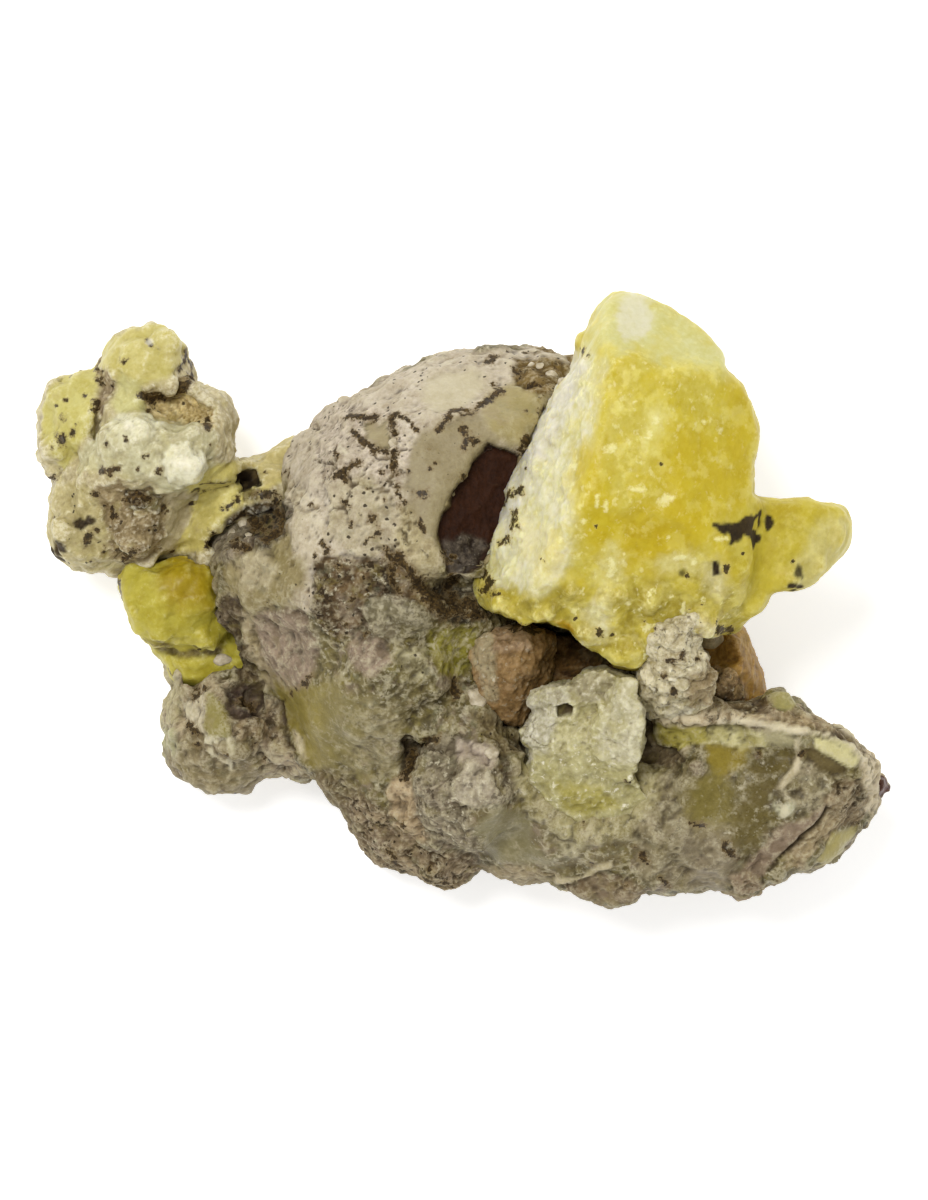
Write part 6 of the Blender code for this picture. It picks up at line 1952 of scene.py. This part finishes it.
CHROMITE = Chromite(
    node="chromite", name="chromite_window", slot="dark_chromite", voxel=0.16, even=1, swell=0.0, foot=24.0,
    flare=0.1,
    rim=(490,439,30.9, 508,441,30.3, 521,455,29.5, 516,478,29, 508,504,29.2, 502,532,29.5, 496,557,30,
        480,565,30.6, 450,567,31.4, 435,553,32.5, 434,520,32.7, 444,494,32.6, 456,474,32.1, 468,458,31.6,
        478,448,31.2),
    inner=(470,500,31.4, 466,540,31.2, 490,470,30.2),
    finish=MineralFinish("chromite_window", edge=0x968868, gap_and_hollow_shade=0x180E08, edge_share=0.3, hollow_shade_share=0.5,
        mottle=1.0, fine=0.25, grain_height=0.05, shine=0.08),
    hue=Hue(0xA1946E, 0x857751, 0.5, 0.05, mixed=0.0), relief=SMOOTH, patches=WINDOW_PATCHES,
)
MINERALS = (
    HOST_ROCK, MAIN_BRUCITE, LEFT_BRUCITE, BRUCITE_KNOB, PALE_BLADE, CREAM_COLUMN, CALCITE_GRAIN,
    CALCITE_SPLINTER, CHROMITE,
)


@dataclass(frozen=True)
class Pebble:
    """A small rounded stone set in the surface: its middle and half width in picture pixels."""

    x: float
    y: float
    size: float
    stretch: float = 1.0


@dataclass(frozen=True)
class PebbleFinish:
    """The pebbles' material: one mottled colour."""

    name: str = "pebbles"
    light: int = 0xCCC0A6
    dark: int = 0x9E9074
    roughness: float = 0.6

    def material(self) -> bpy.types.Material:
        """Builds the material.

        Returns:
            The material, mottled over a fraction of a millimetre.
        """
        graph = Graph(self.name)
        mottle = graph.noise(0.7, 3.0)
        colour = graph.mix(linear(self.dark), linear(self.light), graph.ramp(mottle, 0.3, 0.7))
        graph.link(colour, graph.shader.inputs["Base Color"])
        rough = graph.math("ADD", self.roughness - 0.1, graph.times(mottle, 0.2), clamp=True)
        graph.link(rough, graph.shader.inputs["Roughness"])
        graph.bump((graph.noise(0.25, 2.0), 0.03, 0.7))
        graph.set(Subsurface_Weight=0.15, Subsurface_Radius=(1.0, 0.9, 0.5), Subsurface_Scale=1.0 * MM)
        return graph.material


@dataclass
class Pebbles:
    """The small stones grown into the crusts, all in one mesh, each sunk in the surface under it."""

    name: str = "pebbles"
    slot: str = "tan_rock"
    finish: PebbleFinish = field(default_factory=PebbleFinish)
    stones: tuple[Pebble, ...] = (
        Pebble(477, 695, 12, 0.8), Pebble(540, 368, 5), Pebble(551, 376, 6), Pebble(531, 366, 4),
        Pebble(560, 384, 5), Pebble(243, 525, 6), Pebble(232, 533, 6), Pebble(248, 536, 5),
        Pebble(493, 752, 8), Pebble(222, 660, 6, 1.6), Pebble(394, 445, 5),
    )
    flatness: float = 0.7
    proud: float = 0.35
    ragged: float = 0.3
    righting: float = 0.6
    probe_height: float = 80.0

    def build(self) -> bpy.types.Object:
        """Makes the stones.

        Returns:
            One object that holds them all.
        """
        bm = bmesh.new()
        graph = bpy.context.evaluated_depsgraph_get()
        for number, stone in enumerate(self.stones):
            x, y = on_plan((stone.x, stone.y))[0]
            start = Vector((x, y, self.probe_height)) * MM
            hit, place, normal, *_ = bpy.context.scene.ray_cast(graph, start, Vector((0, 0, -1)))
            if hit:
                self.add(bm, stone, place / MM, normal, number)
        mesh = finished_mesh(bm, self.name)
        obj = shown_object(self.name, mesh)
        mesh.shade_smooth()
        mesh.materials.append(self.finish.material())
        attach(obj, "root")
        log.info("%s: %d stones", obj.name, len(self.stones))
        return obj

    def add(self, bm: bmesh.types.BMesh, stone: Pebble, place: Vector, normal: Vector, number: int) -> None:
        """Adds one stone.

        Args:
            bm: The mesh that all the stones share.
            stone: Its size and shape.
            place, normal: Where it sits, in millimetres, and the direction that it sits square to.
            number: Its place in the list, which makes its shape its own.
        """
        upright = Vector((0, 0, 1))
        normal = (normal + self.righting * upright).normalized()
        size = stone.size / PIXELS_PER_MM
        thick = size * self.flatness
        made = bmesh.ops.create_icosphere(bm, subdivisions=3, radius=1.0)["verts"]
        units = np.array([vert.co for vert in made])
        rough = 1 + self.ragged * waves(units, 0.8, 200 + number)
        lie = upright.rotation_difference(normal).to_matrix()
        sunk = place - normal * (thick - self.proud * min(1.0, size))
        for vert, unit, share in zip(made, units, rough):
            shape = Vector((unit[0] * size * stone.stretch, unit[1] * size, unit[2] * thick)) * share
            vert.co = (lie @ shape + sunk) * MM


@dataclass
class Studio:
    """A pale floor, soft light from the upper left, and a camera straight above."""

    floor_size: float = 3.0
    floor_level: float = -0.00002
    sensor: float = 36.0
    key_power: float = 8.8
    key_size: float = 0.36
    key_place: Triple = (-0.24, 0.3, 1.2)
    sky: float = 0.63
    floor_glow: float = 0.5

    def build(self) -> None:
        """Sets everything up."""
        self.add_floor()
        self.add_lights()
        self.add_camera()
        bpy.context.scene.view_settings.view_transform = "Standard"

    def add_floor(self) -> None:
        """Lays a broad pale floor."""
        bm = bmesh.new()
        bmesh.ops.create_grid(bm, x_segments=2, y_segments=2, size=self.floor_size / 2)
        bmesh.ops.translate(bm, verts=bm.verts[:], vec=(0, 0, self.floor_level))
        mesh = finished_mesh(bm, "floor")
        floor = shown_object("floor", mesh)
        graph = Graph("paper")
        tint = graph.mix((0.9, 0.9, 0.9), (0.92, 0.92, 0.92), graph.noise(4.0, 2.0))
        graph.link(tint, graph.shader.inputs["Base Color"])
        graph.set(
            Roughness=0.9, Specular_IOR_Level=0.1, Emission_Color=(1.0, 1.0, 1.0, 1.0),
            Emission_Strength=self.floor_glow,
        )
        mesh.materials.append(graph.material)
        floor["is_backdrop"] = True

    def add_lights(self) -> None:
        """Hangs a broad soft key at the upper left, in a bright even room."""
        world = bpy.data.worlds.new("room")
        world.use_nodes = True
        glow = world.node_tree.nodes["Background"]
        glow.inputs["Color"].default_value = (1.0, 1.0, 1.0, 1.0)
        glow.inputs["Strength"].default_value = self.sky
        bpy.context.scene.world = world
        light = bpy.data.lights.new("key", "AREA")
        light.shape = "DISK"
        light.size = self.key_size
        light.energy = self.key_power
        lamp = shown_object("key", light)
        lamp.location = self.key_place
        lamp.rotation_euler = (-lamp.location).to_track_quat("-Z", "Y").to_euler()

    def add_camera(self) -> None:
        """Hangs the camera so that the frame shows ten pixels to the millimetre."""
        camera = bpy.data.cameras.new("camera")
        camera.lens = CAMERA_RISE * self.sensor * PIXELS_PER_MM / PICTURE_HEIGHT
        camera.sensor_width = self.sensor
        height = CAMERA_RISE * MM
        camera.clip_start, camera.clip_end = height * 0.1, height * 10
        view = shown_object("camera", camera)
        view.location = (*PICTURE_MIDDLE * MM, height + SCALE_LEVEL * MM)
        bpy.context.scene.camera = view


def write_size() -> None:
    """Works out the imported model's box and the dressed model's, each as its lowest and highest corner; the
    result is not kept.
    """
    boxes = {"cad": CAD_BOX, "visual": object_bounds()}
    plain = {name: [list(corner) for corner in box] for name, box in boxes.items()}


def main() -> None:
    """Builds and dresses the specimen piece by piece, then the studio."""
    logging.basicConfig(level=logging.INFO, format="%(message)s")
    for mineral in MINERALS:
        mineral.build()
    Pebbles().build()
    Studio().build()
    write_size()


if __name__ == "__main__":
    main()
